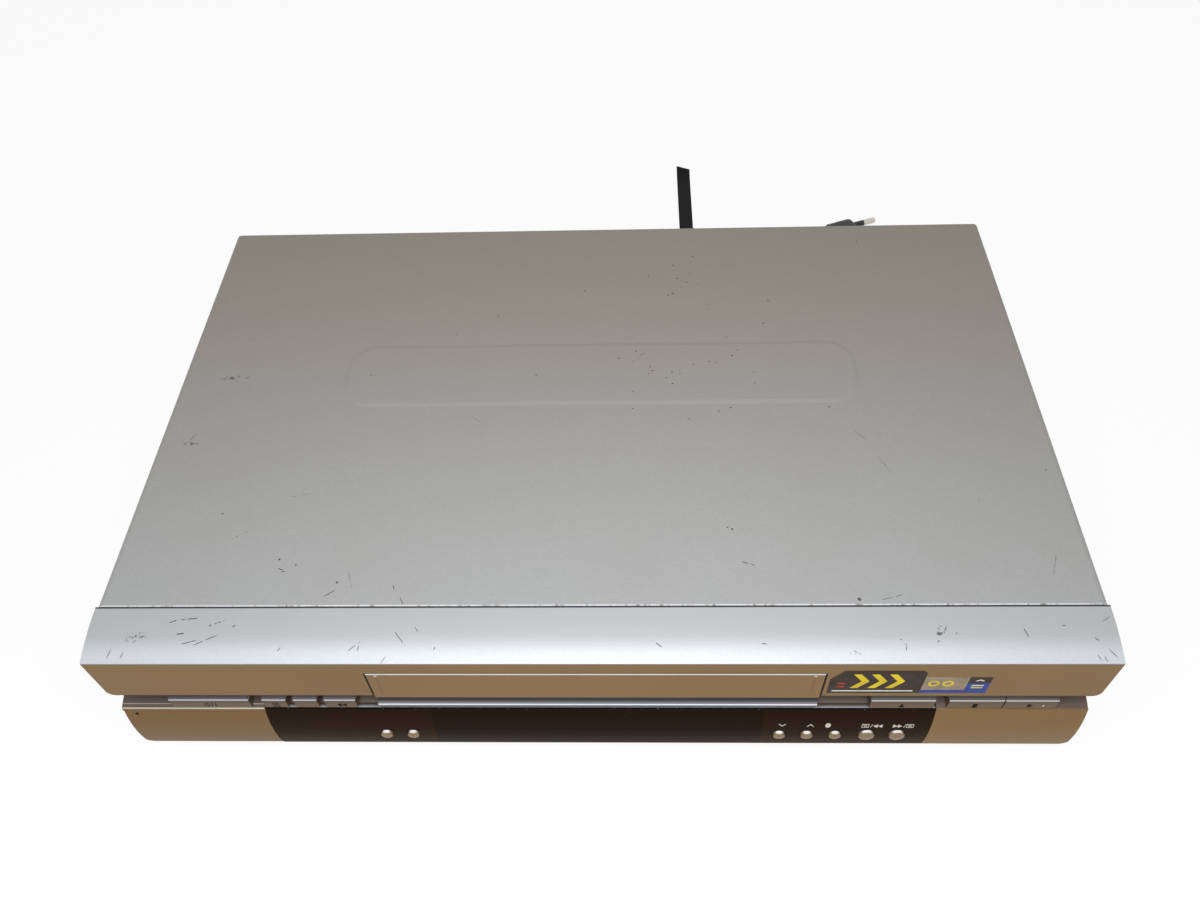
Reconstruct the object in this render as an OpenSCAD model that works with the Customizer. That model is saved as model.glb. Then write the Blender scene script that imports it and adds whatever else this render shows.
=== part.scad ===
// Front-loading video cassette recorder with its cassette lift, tape deck, boards, sockets and mains lead.
// Frame: origin on the surface it stands on, under the middle of the case. +X right, +Y to the rear, +Z up.

/* [Case] */
// Width over the sides of the case
case_w = 430; // [420:1:440]
// Height of the flat top above the surface it stands on
case_h = 88; // [86:0.5:92]
// Depth from the front crease to the rear edge of the cover
case_d = 274; // [268:1:290]
// Thickness of the sheet steel cover
cover_t = 1; // [0.8:0.1:1.2]
// Outside bend radius along the cover's top edges
cover_bend_r = 3; // [2:0.5:4]
// Height of the feet
foot_h = 8.5; // [7.5:0.5:9]
// Radius of a foot at its top
foot_r = 13; // [10:0.5:16]
// Height of the pressed panel on the cover
pressing_h = 0.45; // [0.3:0.05:0.6]
// Width of the pressed panel on the cover
pressing_w = 256; // [200:1:300]
// Depth of the pressed panel on the cover
pressing_d = 38; // [30:1:50]
// Distance from the front crease to the middle of the pressed panel
pressing_y = 160; // [140:1:180]
// Width of the slope round the pressed panel
pressing_slope = 2.5; // [1.5:0.1:3]
// Thickness of the base tray's floor
tray_t = 2.5; // [2:0.1:3]
// Height of the base tray's side walls above its floor
tray_wall_h = 34; // [20:1:40]
// Radius of a case screw's shank
screw_r = 1.5; // [1.4:0.05:1.6]

/* [Front] */
// Depth of the silver strip between the cover and the crease
strip_d = 25; // [22:0.5:27]
// Drop of the strip from the flat top to the crease
strip_drop = 3.6; // [2.5:0.1:4.5]
// Wall of the front moulding
front_wall = 2.4; // [2:0.1:2.6]
// Height of the upper front face below the crease
upper_face_h = 29.9; // [29:0.1:30.5]
// Depth of the groove that holds the bar buttons
groove_d = 6.5; // [6:0.1:7]
// Height of the groove's mouth
groove_h = 13.7; // [13:0.1:14.5]
// How far the lower front leans out at its bottom
lower_lean = 2; // [1:0.1:3]
// How far the lower front bulges out at its middle
belly = 1.6; // [0.8:0.1:2]
// Rounding of the front's lower corners
corner_r = 3.5; // [2:0.5:5]
// Width of the smoked window
window_w = 298.4; // [296:0.1:301]
// Thickness of the smoked window
window_t = 2.5; // [2:0.1:2.6]
// Width of the display opening behind the window
display_w = 147; // [130:1:152]
// Gap around a part that moves in the front
front_gap = 0.4; // [0.3:0.05:0.5]

/* [Cassette] */
// Width of the cassette
cassette_w = 188; // [187:0.5:188]
// Height of the cassette
cassette_h = 25; // [25:0.1:25.5]
// Distance between the two reel spindles
reel_pitch = 92; // [90:0.5:93]
// Width of the cassette door
door_w = 193; // [192:0.5:194]
// Thickness of the cassette door
door_t = 2.2; // [1.8:0.1:2.4]
// Radius of the rounded lip along the bottom of the cassette door
lip_r = 4; // [3.6:0.1:4.1]
// How far the cassette lift travels in
lift_in = 76; // [70:1:76]
// Height of the loaded cassette's underside above the deck
loaded_h = 2; // [2:0.1:3]

/* [Buttons] */
// Travel of every button
button_travel = 1; // [0.6:0.1:1]
// How far the round buttons stand out of the window
round_proud = 2; // [1.2:0.1:2.4]
// Radius of the small round buttons on the left
round_left_r = 2.6; // [2.2:0.1:3]
// Radius of the small round buttons on the right
round_right_r = 2.6; // [2.5:0.1:3.3]
// Radius of the two large round buttons
round_large_r = 3.45; // [3.2:0.05:4]
// Height of the round buttons above the lower edge of the front
round_z = 12.5; // [11:0.1:14]

/* [Deck] */
// Radius of the head drum
drum_r = 31; // [30:0.1:31]
// Tilt of the head drum
drum_tilt = 6; // [4:0.5:7]
// Radius of the capstan shaft
capstan_r = 1.5; // [1.2:0.05:1.8]
// Radius of the capstan flywheel
flywheel_r = 22; // [18:0.5:23]
// Radius of the pinch roller
roller_r = 7; // [6:0.1:7]
// Radius of a reel table
reel_r = 17; // [15:0.5:18]
// Travel of the tape guides
guide_travel = 50; // [40:1:50]

/* [Mains lead] */
// Diameter of the lead
lead_d = 5.4; // [5:0.1:5.4]
// Radius of the coil's outer turn, at the middle of the lead
coil_r = 44; // [42:0.5:44]
// Turns in each layer of the coil
coil_turns = 3.5; // [2.5:1:4.5]
// Distance between the middles of two turns that lie side by side
coil_step = 6; // [6:0.05:6.2]
// Length of a plug pin
pin_l = 19; // [17:0.5:20]
// Radius of a plug pin
pin_r = 2; // [1.9:0.05:2.4]
// Width of the tie strap
tie_w = 9.6; // [8:0.1:12]
// Thickness of the tie strap
tie_t = 1.2; // [0.8:0.1:1.6]

/* [Hidden] */
$fn = 64;

// Named clearances
run_gap = 0.05;
slip_gap = 0.3;
seat_gap = 0.2;
eps = 0.01;

// Case planes
half_w = case_w / 2;
crease_setback = 3;
y_crease = -case_d / 2 - crease_setback;
y_back = y_crease + case_d;
y_seam = y_crease + strip_d;
y_low = y_crease - lower_lean;
z_base = foot_h;
z_crease = case_h - strip_drop;
z_upper = z_crease - upper_face_h;
z_ledge = z_upper - groove_h;
groove_slope = 2.2;
z_groove = z_ledge + groove_slope;
y_groove = y_crease + groove_d;
lean = atan(lower_lean / (z_ledge - z_base));
face_l = (z_ledge - z_base) / cos(lean);
belly_flat = 0.5;
belly_half = face_l / 2 - belly_flat;
belly_r = (belly_half * belly_half + belly * belly) / (2 * belly);
arc_fn = 360;
lower_wall = front_wall + window_t + seat_gap;
through_y = 12;
window_edge = 0.5;
display_margin = 3.5;
flange_d = 10.5;

// Tray and panel planes
plate_t = 1;
z_tray = z_base + plate_t;
z_floor = z_tray + tray_t;
y_tray_front = y_low + flange_d + seat_gap;
panel_t = 1.2;
panel_inset = 2;
y_panel_out = y_back - panel_inset;
y_panel_in = y_panel_out - panel_t;
y_tray_rear = y_panel_in - seat_gap;
tray_wall_t = 2.2;
wall_x = half_w - cover_t - slip_gap;
tray_front_x = half_w - front_wall - slip_gap;
cover_skirt = 2.5;
rear_lip_h = 8;
screw_head_r = 3.2;
screw_head_t = 1.4;
screw_l = 7;
screw_taper = 0.6;
deck_screw_l = 5;
deck_boss_r = 4;
plate_margin = 4;
tongue_inset = 4;
tongue_l = 7;
side_screw_z = 32;
side_screw_y = [-70, 85];
rear_screw_x = [-half_w + 65, 0, half_w - 65];
rear_screw_z = case_h - cover_t - 4;
foot_x = half_w - 45;
vent_n = 9;
vent_x = 140;
vent_y = -20;
vent_pitch = 9;
vent_l = 60;
vent_r = 1.5;
foot_y = [-105, 105];
foot_taper = 1.2;
foot_edge = 0.8;

// Front most point of the round buttons and rear most point of the sockets
round_dome = 0.8;
function dome_r(r) = (r * r + round_dome * round_dome) / (2 * round_dome);
round_out = round_proud + belly - pow(face_l / 2 - round_z, 2) / (2 * belly_r);
y_front_most = y_low - round_out * cos(lean) - dome_r(round_large_r) * (1 - cos(lean)) + round_z * sin(lean);
y_rear_most = -y_front_most;

// Boards behind the front
y_board = y_crease + 16;
board_t = 1.6;
switch_h = 3.5;
plunger_h = 0.5;
plunger_r = 1.6;
switch_w = 6;
tube_d = 7;
tube_rim = [3, 2];
tube_recess = 0.8;
tube_z = [6, 5.5];
y_plunger = y_board - switch_h - plunger_h;
y_stem_end = y_plunger - button_travel - seat_gap;
stem_w = 6;
stem_h = 4;
round_stem_r = 1.5;
bar_z0 = z_ledge + 0.8;
bar_z = bar_z0 + 5.7;
bar_y0 = y_crease + 0.4;
bar_back = y_groove - button_travel - slip_gap;
bar_face_h = 6.6;
bar_nose_r = 1.6;
bar_top_step = [0.5, 1.1];
bar_top_gap = 1.2;
low_posts = [[-window_w / 2 + 10.2, z_ledge - 13.8], [window_w / 2 + 5.8, z_ledge - 13.8]];
high_posts = [[-half_w + 12, z_upper - 4.5], [half_w - 9.5, z_upper - 4.5]];
board_post_r = 2.4;
board_x = half_w - 7;
board_low_x = -window_w / 2 + 2.2;
board_z0 = z_floor + 0.5;
board_z1 = z_ledge - 0.6;
board_top = z_upper + 1.5;
board_inner_x = door_w / 2 + 4;

// Bar buttons: left and right edge, the left ones from the door's slot and the right ones from the case's end
slot_x = door_w / 2 + front_gap;
power_x = [-slot_x - 93.9, -slot_x - 57.9];
timer_x = [-slot_x - 51.7, -slot_x - 41.2];
search_x = [-slot_x - 37.7, -slot_x - 27.2];
rewind_bar_x = [-slot_x - 23.8, -slot_x - 9.9];
eject_x = [half_w - 95.1, half_w - 67.5];
stop_x = [half_w - 61.5, half_w - 37.9];
play_x = [half_w - 37.3, half_w - 14.7];
BARS = [power_x, timer_x, search_x, rewind_bar_x, eject_x, stop_x, play_x];

// Round buttons: place across the front and radius
// The places are drawn on the stretch from the display's end to the window's end
round_drawn = 76.2;
round_share = (window_w - display_w) / 2 / round_drawn;
tape_b = [-display_w / 2 - 23.9 * round_share, round_left_r];
picture_b = [-display_w / 2 - 11.5 * round_share, round_left_r];
channel_down_b = [display_w / 2 + 8.9 * round_share, round_right_r];
channel_up_b = [display_w / 2 + 21.4 * round_share, round_right_r];
record_b = [display_w / 2 + 34.2 * round_share, round_right_r];
rewind_b = [display_w / 2 + 48.5 * round_share, round_large_r];
forward_b = [display_w / 2 + 62.2 * round_share, round_large_r];
ROUNDS = [tape_b, picture_b, channel_down_b, channel_up_b, record_b, rewind_b, forward_b];
round_cap_back = 1.4;
z_round_end = z_base + round_z * cos(lean) - (y_stem_end - y_low) * tan(lean);

// Cassette door
door_top = z_crease - 9.4;
slot_top = door_top + front_gap;
door_pivot = [y_crease + 5.2, door_top - 1.8];
door_pin_r = 1.2;
door_drop = 1.8;
door_bottom = z_upper - door_drop;
slot_floor = z_groove - door_drop;
lip_y = y_groove - 3.1;
lip_z = slot_floor + front_gap + lip_r + 0.2;
door_back_y = y_groove + 0.1;
door_lug_x = slot_x + 0.7;
door_lug_t = 3.3;
door_lug_h = 5.2;
door_cheek_t = 3.2;
door_cheek_r = 1.8;
door_pin_in = 12;
spring_wire = 0.5;
spring_r = 2.2;
spring_curls = 4;
spring_pitch = 1.1;
spring_rings = 8;
spring_x = -door_w / 2 + 4.5;

// Front socket door, in the frame of the leaning lower face; it turns on a pin along its bottom
av_left = -half_w + 0.6;
av_right = -window_w / 2 - front_gap;
av_t = 2.5;
av_z0 = 0.4;
av_z1 = face_l - 2;
av_pin = [4.2, 3];
av_pin_r = 0.8;
av_lug_r = 1.3;
av_ear_w = 3;
av_mouth = [-half_w + 7, -window_w / 2 - 6.8];
av_mouth_top = face_l - 4.9;
av_pin_x = [av_mouth[0] - 3, av_mouth[1] + 3];
jack_pitch = 15;
jack_margin = 10.5;
jack_n = floor((av_mouth[1] - av_mouth[0] - 2 * jack_margin) / jack_pitch + eps) + 1;
jack_x = [for (i = [0:jack_n - 1]) (av_mouth[0] + av_mouth[1]) / 2 + jack_pitch * (i - (jack_n - 1) / 2)];
jack_r = 4.15;
jack_bore_r = 1.7;
jack_l = 9;
jack_z = z_base + face_l / 2;
jack_insert_r = 3.1;
y_jack_plate = y_crease + 17.5;
jack_plate_t = 2;
jack_plate_h = face_l - 9.4;
jack_post_r = 1.8;

// Rear sockets
scart_w = 47;
scart_h = 14;
scart_x = -75;
scart_z = [32, 56];
scart_proud = 3;
scart_depth = 12;
scart_back = 11;
scart_wall = 2;
scart_slant = [2, 3];
scart_plate_w = scart_w + 8;
scart_plate_top = scart_z[1] + scart_h / 2 + 4;
tuner_x = [half_w - 65, half_w - 15];
tuner_y0 = 92;
tuner_top = 62;
aerial_x = [tuner_x[0] + 12, tuner_x[0] + 37];
aerial_z = 42;
aerial_r = 4.75;
aerial_wall = 1;
aerial_core_r = 1.2;
aerial_bore_r = 1.3;
aerial_bore_y = 3;
neck_step = 0.2;
audio_x = half_w - 93;
audio_block = 14;
audio_neck = 6;
audio_z = [30, 47];
lead_x = 13;
lead_z = 19;
relief_l = 22;
relief_r = 5.2;
relief_flange_r = 6.8;
relief_head_l = 3;
relief_lip = [1.6, 2];
relief_tip = 1;

// Boards inside
boards_z = z_floor + 5;
deck_x = 101.5;
main_board_x = [deck_x + 6.5, half_w - 8];
main_board_y = [-104, 124];
power_board_x = [-half_w + 8, -deck_x - 6.5];
power_board_y = [-20, 124];
inside_post_r = 3.5;
board_post_in = [4, 6];
chip_t = 4;
chip_w = 10;
// Chips on the main board: place as shares of the board, and length
CHIPS = [[0.22, 0.15, 22], [0.58, 0.28, 30], [0.32, 0.5, 26], [0.68, 0.68, 18]];
// Capacitors on each board: place as shares of the board, radius and height
MAIN_CAPS = [[0.83, 0.1, 5, 14], [0.88, 0.41, 6, 18], [0.17, 0.72, 4, 12]];
POWER_CAPS = [[0.83, 0.21, 9, 28], [0.58, 0.17, 7, 22], [0.27, 0.14, 6, 18]];
sink_w = 60;
sink_t = 4;
sink_h = 30;
sink_y = 20;
core_w = 56;
core_d = 32;
core_h = 42;
core_limb = 8;
core_window_w = 12;
core_window_x = 14;
coil_former_d = 8;
core_y = 64;

// Deck
z_deck = 18;
deck_t = 1.2;
deck_top = z_deck + deck_t;
deck_y = [-100, 112];
deck_screw_at = [[-70, -94], [70, -94], [-94, 104], [94, 104]];
reel_at = [reel_pitch / 2, -47];
reel_pin_r = 2;
reel_pin_h = 14.5;
reel_t = 3;
reel_hub_r = 6;
reel_hub_h = 12;
reel_wing = [4, 2, 11];
reel_z0 = deck_top + 0.8;
drum_at = [0, 52];
drum_shaft_r = 2;
drum_split = 16;
drum_top = 32;
drum_sink = 6;
drum_shaft_short = 2;
drum_rim = 4;
drum_hub_r = 9;
drum_recess = 5;
capstan_at = [58, 34];
capstan_boss_r = 4;
capstan_boss_h = 3.5;
capstan_h = 23;
flywheel_gap = 1;
arm_pivot = [82, 26];
arm_l = 20;
arm_rest_a = 115.6;
arm_pin_r = 2;
arm_pin_h = 7;
arm_z = 1.8;
arm_t = 2.5;
arm_w = 6;
arm_boss_r = 4.5;
arm_end_r = 4;
roller_at = arm_pivot + arm_l * [cos(arm_rest_a), sin(arm_rest_a)];
roller_pin_r = 1.5;
roller_pin_h = 22;
roller_z = [4.8, 21];
guide_x = 40;
guide_y0 = 10;
guide_slot_w = 6;
guide_slot_end = 8;
guide_key_l = 10;
guide_key_drop = 0.6;
guide_block = [10, 12, 3.7];
guide_post_r = 3;
guide_post_h = 25;
head_size = [12, 8, 24];
erase_head_at = drum_at + [-68, -16];
sound_head_at = capstan_at + [-2, 30];

// Cassette lift
sheet_t = 1;
holder_t = 1.2;
holder_in = cassette_w / 2 + 1;
holder_out = holder_in + holder_t;
holder_z0 = z_groove + 0.7;
holder_floor_z = holder_z0 + sheet_t;
holder_top = holder_floor_z + cassette_h + 2.4;
holder_y = [y_crease + 36, y_crease + 80];
holder_front = holder_y[0] + 1;
ledge_y0 = y_board + board_t + 1.4;
ledge_in = 78;
slider_t = 1.2;
slider_in = holder_out + 2.4;
slider_out = slider_in + slider_t;
frame_in = slider_out + 0.5;
frame_out = frame_in + 1.2;
frame_top = case_h - 8;
frame_y1 = 60;
slider_top = frame_top - 2.5;
slider_pin_z = slider_top - 3.5;
slider_pin_y = [holder_y[0] + 6, holder_y[1] - 6];
holder_pin_y = [holder_y[0] + 9, holder_y[1] - 9];
holder_pin_z = holder_floor_z + 16;
lift_down = holder_floor_z - deck_top - loaded_h;
holder_strap_d = 14;
holder_bridge_w = 60;
brace_t = 1.2;
front_brace = [10, 34];
rear_brace_d = 20;
slider_brace_d = 10;
rack_bar_h = 4;
rack_over = 8;
pin_out = 0.4;
lift_pin_r = 1.5;
gear_m = 1;
pinion_teeth = 12;
wheel_teeth = 20;
motor_teeth = 10;
add_h = 0.85 * gear_m;
ded_h = 1.25 * gear_m;
pinion_r = gear_m * pinion_teeth / 2;
wheel_r = gear_m * wheel_teeth / 2;
motor_r = gear_m * motor_teeth / 2;
gear_at = [holder_y[0] + lift_in + 3, deck_top + pinion_r + 1];
rack_z = gear_at[1] + pinion_r;
slider_z0 = rack_z + ded_h;
motor_at = [gear_at[0], gear_at[1] + wheel_r + motor_r];
gear_shaft_r = 2;
wheel_x = frame_out + 1.5;
wheel_t = 3;
bracket_x = wheel_x + wheel_t + 1;
bracket_t = 1.2;
bracket_half = [18, 12];
motor_hole_r = 3;
motor_shaft_r = 1;
motor_nose = [2.5, 3.5];
bracket_post_r = 2;
bracket_posts = [[gear_at[0] - 14.5, motor_at[1] + 8], [gear_at[0] + 14.5, motor_at[1] + 8]];
motor_body_r = 10.5;
motor_body_l = 25;

// Mains lead: free stretches as round numbers, the coil by formula
lead_r = lead_d / 2;
coil_at = [lead_x + coil_r, 184];
layer_step = 6;
turns_out = coil_turns - 0.125;
turn_mid = coil_turns + 0.25;
coil_ring_count = 24;
coil_sides = 6;
lead_sides = 10;
turn_in = coil_turns;
turn_climb = 0.5;
turn_all = turn_in + turn_climb + turns_out;
relief_end = y_panel_out + relief_l;
plug_heading = 20;
plug_at = [140, 215];
plug_l = 35;
plug_w = 26;
plug_h = 13;
plug_z = plug_h / 2;
pin_pitch = 18.6;
plug_neck = [4.2, 5.4];
plug_at_l = [10, 14, 18];
plug_rise_l = 16;
plug_edge = 2;
pin_tip = [1, 0.8];
tie_x = 55.5;
tie_end = 313;

// Shapes used by several parts
module block(lo, hi) translate(lo) cube(hi - lo);
module along_x(x0, x1) translate([x0, 0, 0]) rotate([90, 0, 90]) linear_extrude(x1 - x0) children();
module along_y(y0, y1) translate([0, y1, 0]) rotate([90, 0, 0]) linear_extrude(y1 - y0) children();
module rod_x(x0, x1, y, z, r) translate([x0, y, z]) rotate([0, 90, 0]) cylinder(h = x1 - x0, r = r);
module rod_y(y0, y1, x, z, r) translate([x, y1, z]) rotate([90, 0, 0]) cylinder(h = y1 - y0, r = r);
module rod_z(z0, z1, x, y, r) translate([x, y, z0]) cylinder(h = z1 - z0, r = r);
module both_sides() {
    children();
    mirror([1, 0, 0]) children();
}
module rounded(w, h, r) {
    square([w - 2 * r, h], center = true);
    square([w, h - 2 * r], center = true);
    for (sx = [-1, 1], sy = [-1, 1]) translate([sx * (w / 2 - r), sy * (h / 2 - r)]) circle(r);
}
// Frame of the leaning lower face: y into the case, z up along the face from its bottom edge
module on_lower_face() translate([0, y_low, z_base]) rotate([-lean, 0, 0]) children();
// Round body of the bulged lower face
module belly_body(x0, x1) rod_x(x0, x1, belly_r - belly, face_l / 2, belly_r, $fn = arc_fn);
// Waste outside a rounded lower corner: the corner is at the origin, the wall on its left
module corner_waste(r) difference() {
    translate([-r, -1]) square([r + 1, r + 1]);
    translate([-r, r]) circle(r);
}
// Straight-flanked gear with a tooth at angle 0
module gear_shape(teeth) {
    r = gear_m * teeth / 2;
    root = r - ded_h;
    tip = r + add_h;
    pitch_half = 0.205 * PI * gear_m;
    root_half = pitch_half + ded_h * tan(20);
    tip_half = pitch_half - add_h * tan(20);
    circle(root);
    for (i = [0:teeth - 1]) rotate(i * 360 / teeth)
        polygon([[root - 0.4, -root_half], [tip, -tip_half], [tip, tip_half], [root - 0.4, root_half]]);
}

// Tube swept along points: one ring across the bisector at each point, closed by flat ends
function unit(v) = v / norm(v);
function path_dir(p, i) = unit(p[min(i + 1, len(p) - 1)] - p[max(i - 1, 0)]);
function side_of(d) = unit(cross([0, 0, 1], d));
function ring_at(p, i, r, sides) =
    let (d = path_dir(p, i), s = side_of(d), u = cross(d, s))
    [for (k = [0:sides - 1]) p[i] + r * (cos(360 * k / sides) * s + sin(360 * k / sides) * u)];
module tube(p, r, sides) {
    n = len(p);
    points = [for (i = [0:n - 1]) each ring_at(p, i, r, sides)];
    skin = [for (i = [0:n - 2], k = [0:sides - 1])
        let (a = i * sides + k, b = i * sides + (k + 1) % sides)
        each [[a, b, a + sides], [b, b + sides, a + sides]]];
    caps = [for (k = [1:sides - 2]) each [[0, k + 1, k], [(n - 1) * sides, (n - 1) * sides + k,
        (n - 1) * sides + k + 1]]];
    polyhedron(points, [for (f = concat(skin, caps)) [f[0], f[2], f[1]]], convexity = 10);
}

// Turn t of the coil: inwards on the floor, up a layer in half a turn, outwards on top
function ease(s) = s * s * (3 - 2 * s);
function coil_radius(t) = coil_r - coil_step * (turn_mid - abs(t - turn_mid));
function coil_height(t) = lead_r + layer_step * ease(min(max((t - turn_in) / turn_climb, 0), 1));
function coil_point(t) = let (a = 180 - 360 * t, r = coil_radius(t))
    [coil_at[0] + r * cos(a), coil_at[1] + r * sin(a), coil_height(t)];
coil_n = round(turn_all * coil_ring_count);
coil_turning = [for (i = [0:coil_n]) coil_point(turn_all * i / coil_n)];
coil_start = coil_turning[0];
coil_end = coil_turning[coil_n];
coil_end_dir = [sin(180 - 360 * turn_all), -cos(180 - 360 * turn_all), 0];
coil_path = concat([coil_start - [0, lead_d, 0]], coil_turning, [coil_end + lead_d * coil_end_dir]);
coil_gap = min([for (i = [0:len(coil_path) - 1], j = [i + 8:1:len(coil_path) - 1])
    norm(coil_path[i] - coil_path[j])]) - lead_d;
echo(coil_least_gap = coil_gap);
function path_length(p) = len(p) < 2 ? 0 : [for (i = 1, s = 0; i <= len(p);
    s = s + (i < len(p) ? norm(p[i] - p[i - 1]) : 0), i = i + 1) s][len(p) - 1];

// Free stretches of the lead
lead_out = [[lead_x, relief_end, lead_z], [lead_x, 155, lead_z], [lead_x, 158, 18.4], [lead_x, 161, 16.8],
            [lead_x, 164, 14.4], [lead_x, 167, 11.3], [lead_x, 170, 8], [lead_x, 172.5, 5.4],
            [lead_x, 175, 3.5], [lead_x, 177.4, lead_r], coil_path[0]];
plug_dir = [cos(plug_heading), sin(plug_heading), 0];
lead_in = [coil_path[len(coil_path) - 1], coil_path[len(coil_path) - 1] + 2 * coil_end_dir,
           [95.5, 206.8, 8.4], [98.5, 204.4, 7.8], [102.5, 202.5, 6.7], [106.5, 201.8, 5.3], [111, 202.3, 4],
           [115.5, 203.7, 3.2], [120, 205.8, 3], [124.5, 208.2, 3.5], [129, 210.6, 4.5], [133.5, 212.6, 5.7],
           [plug_at[0], plug_at[1], plug_z] - 2 * plug_dir, [plug_at[0], plug_at[1], plug_z]];
echo(lead_length = path_length(lead_out) + path_length(coil_path) + path_length(lead_in));

// Case
module cover_section() difference() {
    union() {
        translate([-half_w, z_base + cover_skirt])
            square([case_w, case_h - cover_bend_r - z_base - cover_skirt]);
        translate([-half_w + cover_bend_r, case_h - cover_bend_r - 1])
            square([case_w - 2 * cover_bend_r, cover_bend_r + 1]);
        for (s = [-1, 1]) translate([s * (half_w - cover_bend_r), case_h - cover_bend_r])
            circle(cover_bend_r);
    }
    translate([-half_w + cover_t, 0]) square([case_w - 2 * cover_t, case_h - cover_bend_r]);
    translate([-half_w + cover_bend_r, 0]) square([case_w - 2 * cover_bend_r, case_h - cover_t]);
    for (s = [-1, 1]) translate([s * (half_w - cover_bend_r), case_h - cover_bend_r])
        circle(cover_bend_r - cover_t);
}
// Pressed panel with sloped sides: it starts inside the sheet, so that the slope meets the flat top
module pressing() {
    r = pressing_d / 3;
    inner_x = pressing_w / 2 - r;
    inner_y = pressing_d / 2 - r;
    foot = 2 * pressing_slope;
    rise = 2 * pressing_h;
    along_x(-inner_x, inner_x) polygon([[-inner_y - r - foot, 0], [inner_y + r + foot, 0],
        [inner_y + r, rise], [-inner_y - r, rise]]);
    along_y(-inner_y, inner_y) polygon([[-inner_x - r - foot, 0], [inner_x + r + foot, 0],
        [inner_x + r, rise], [-inner_x - r, rise]]);
    for (x = [-inner_x, inner_x], y = [-inner_y, inner_y]) translate([x, y, 0])
        cylinder(h = rise, r1 = r + foot, r2 = r);
}
module top_cover() color("silver") difference() {
    union() {
        along_y(y_seam + seat_gap, y_back) cover_section();
        block([-half_w + cover_bend_r, y_back - cover_t, case_h - cover_t - rear_lip_h],
              [half_w - cover_bend_r, y_back, case_h - cover_t / 2]);
        translate([0, y_crease + pressing_y, case_h - pressing_h]) pressing();
    }
    for (y = side_screw_y) rod_x(-half_w - 1, half_w + 1, y, side_screw_z, screw_r + slip_gap);
    for (x = rear_screw_x) rod_y(y_back - 2, y_back + 1, x, rear_screw_z, screw_r + slip_gap);
}
module base_frame() color("dimgray") difference() {
    union() {
        block([-tray_front_x, y_tray_front, z_tray], [tray_front_x, y_seam + 1, z_floor]);
        block([-wall_x, y_seam + slip_gap, z_tray], [wall_x, y_tray_rear, z_floor]);
        both_sides() block([wall_x - tray_wall_t, y_seam + 3, z_floor - eps],
                           [wall_x, y_tray_rear, z_floor + tray_wall_h]);
        for (p = deck_screw_at) rod_z(z_floor - eps, z_deck, p[0], p[1], deck_boss_r);
        for (x = main_board_x + [1, -1] * board_post_in[0], y = main_board_y + [1, -1] * board_post_in[1])
            rod_z(z_floor - eps, boards_z, x, y, inside_post_r);
        for (x = power_board_x + [1, -1] * board_post_in[0], y = power_board_y + [1, -1] * board_post_in[1])
            rod_z(z_floor - eps, boards_z, x, y, inside_post_r);
    }
    for (y = side_screw_y) rod_x(-half_w, half_w, y, side_screw_z, screw_r + run_gap);
    for (p = deck_screw_at) rod_z(z_floor, z_deck + 1, p[0], p[1], screw_r + run_gap);
}
module bottom_plate() color("gainsboro") difference() {
    block([-wall_x + plate_margin, y_tray_front + plate_margin, z_base],
          [wall_x - plate_margin, y_tray_rear - plate_margin, z_tray]);
    for (x = [-1, 1], i = [0:vent_n - 1]) translate([x * vent_x, vent_y + i * vent_pitch, z_base - 1])
        linear_extrude(plate_t + 2) union() {
            square([vent_l - 2 * vent_r, 2 * vent_r], center = true);
            for (e = [-1, 1]) translate([e * (vent_l / 2 - vent_r), 0]) circle(vent_r);
        }
}
module feet() color("black") for (sx = [-1, 1], y = foot_y) translate([sx * foot_x, y, 0]) rotate_extrude()
    polygon([[0, 0], [foot_r - foot_taper - foot_edge, 0], [foot_r - foot_taper, foot_edge],
        [foot_r, foot_h], [0, foot_h]]);
module rear_panel() color("#2b2b2d") difference() {
    block([-wall_x + 1, y_panel_in, z_tray + seat_gap],
        [wall_x - 1, y_panel_out, case_h - cover_t - seat_gap]);
    block([scart_x - scart_plate_w / 2 - seat_gap, y_panel_in - 1, 0],
          [scart_x + scart_plate_w / 2 + seat_gap, y_panel_out + 1, scart_plate_top + seat_gap]);
    for (x = aerial_x) rod_y(y_panel_in - 1, y_panel_out + 1, x, aerial_z, aerial_r + slip_gap);
    for (z = audio_z) rod_y(y_panel_in - 1, y_panel_out + 1, audio_x, z, jack_r + slip_gap);
    rod_y(y_panel_in - 1, y_panel_out + 1, lead_x, lead_z, relief_r + run_gap);
    for (x = rear_screw_x) rod_y(y_panel_in - 1, y_panel_out + 1, x, rear_screw_z, screw_r + run_gap);
}
module case_screw() {
    cylinder(h = screw_head_t, r1 = screw_head_r, r2 = screw_head_r - screw_taper);
    translate([0, 0, -screw_l]) cylinder(h = screw_l + eps, r = screw_r);
}
module screws() color("#55565a") {
    for (y = side_screw_y) both_sides() translate([half_w, y, side_screw_z]) rotate([0, 90, 0]) case_screw();
    for (x = rear_screw_x) translate([x, y_back, rear_screw_z]) rotate([-90, 0, 0]) case_screw();
    for (p = deck_screw_at) translate([p[0], p[1], deck_top]) {
        cylinder(h = screw_head_t, r = screw_head_r);
        translate([0, 0, -deck_screw_l]) cylinder(h = deck_screw_l + eps, r = screw_r);
    }
}

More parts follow.
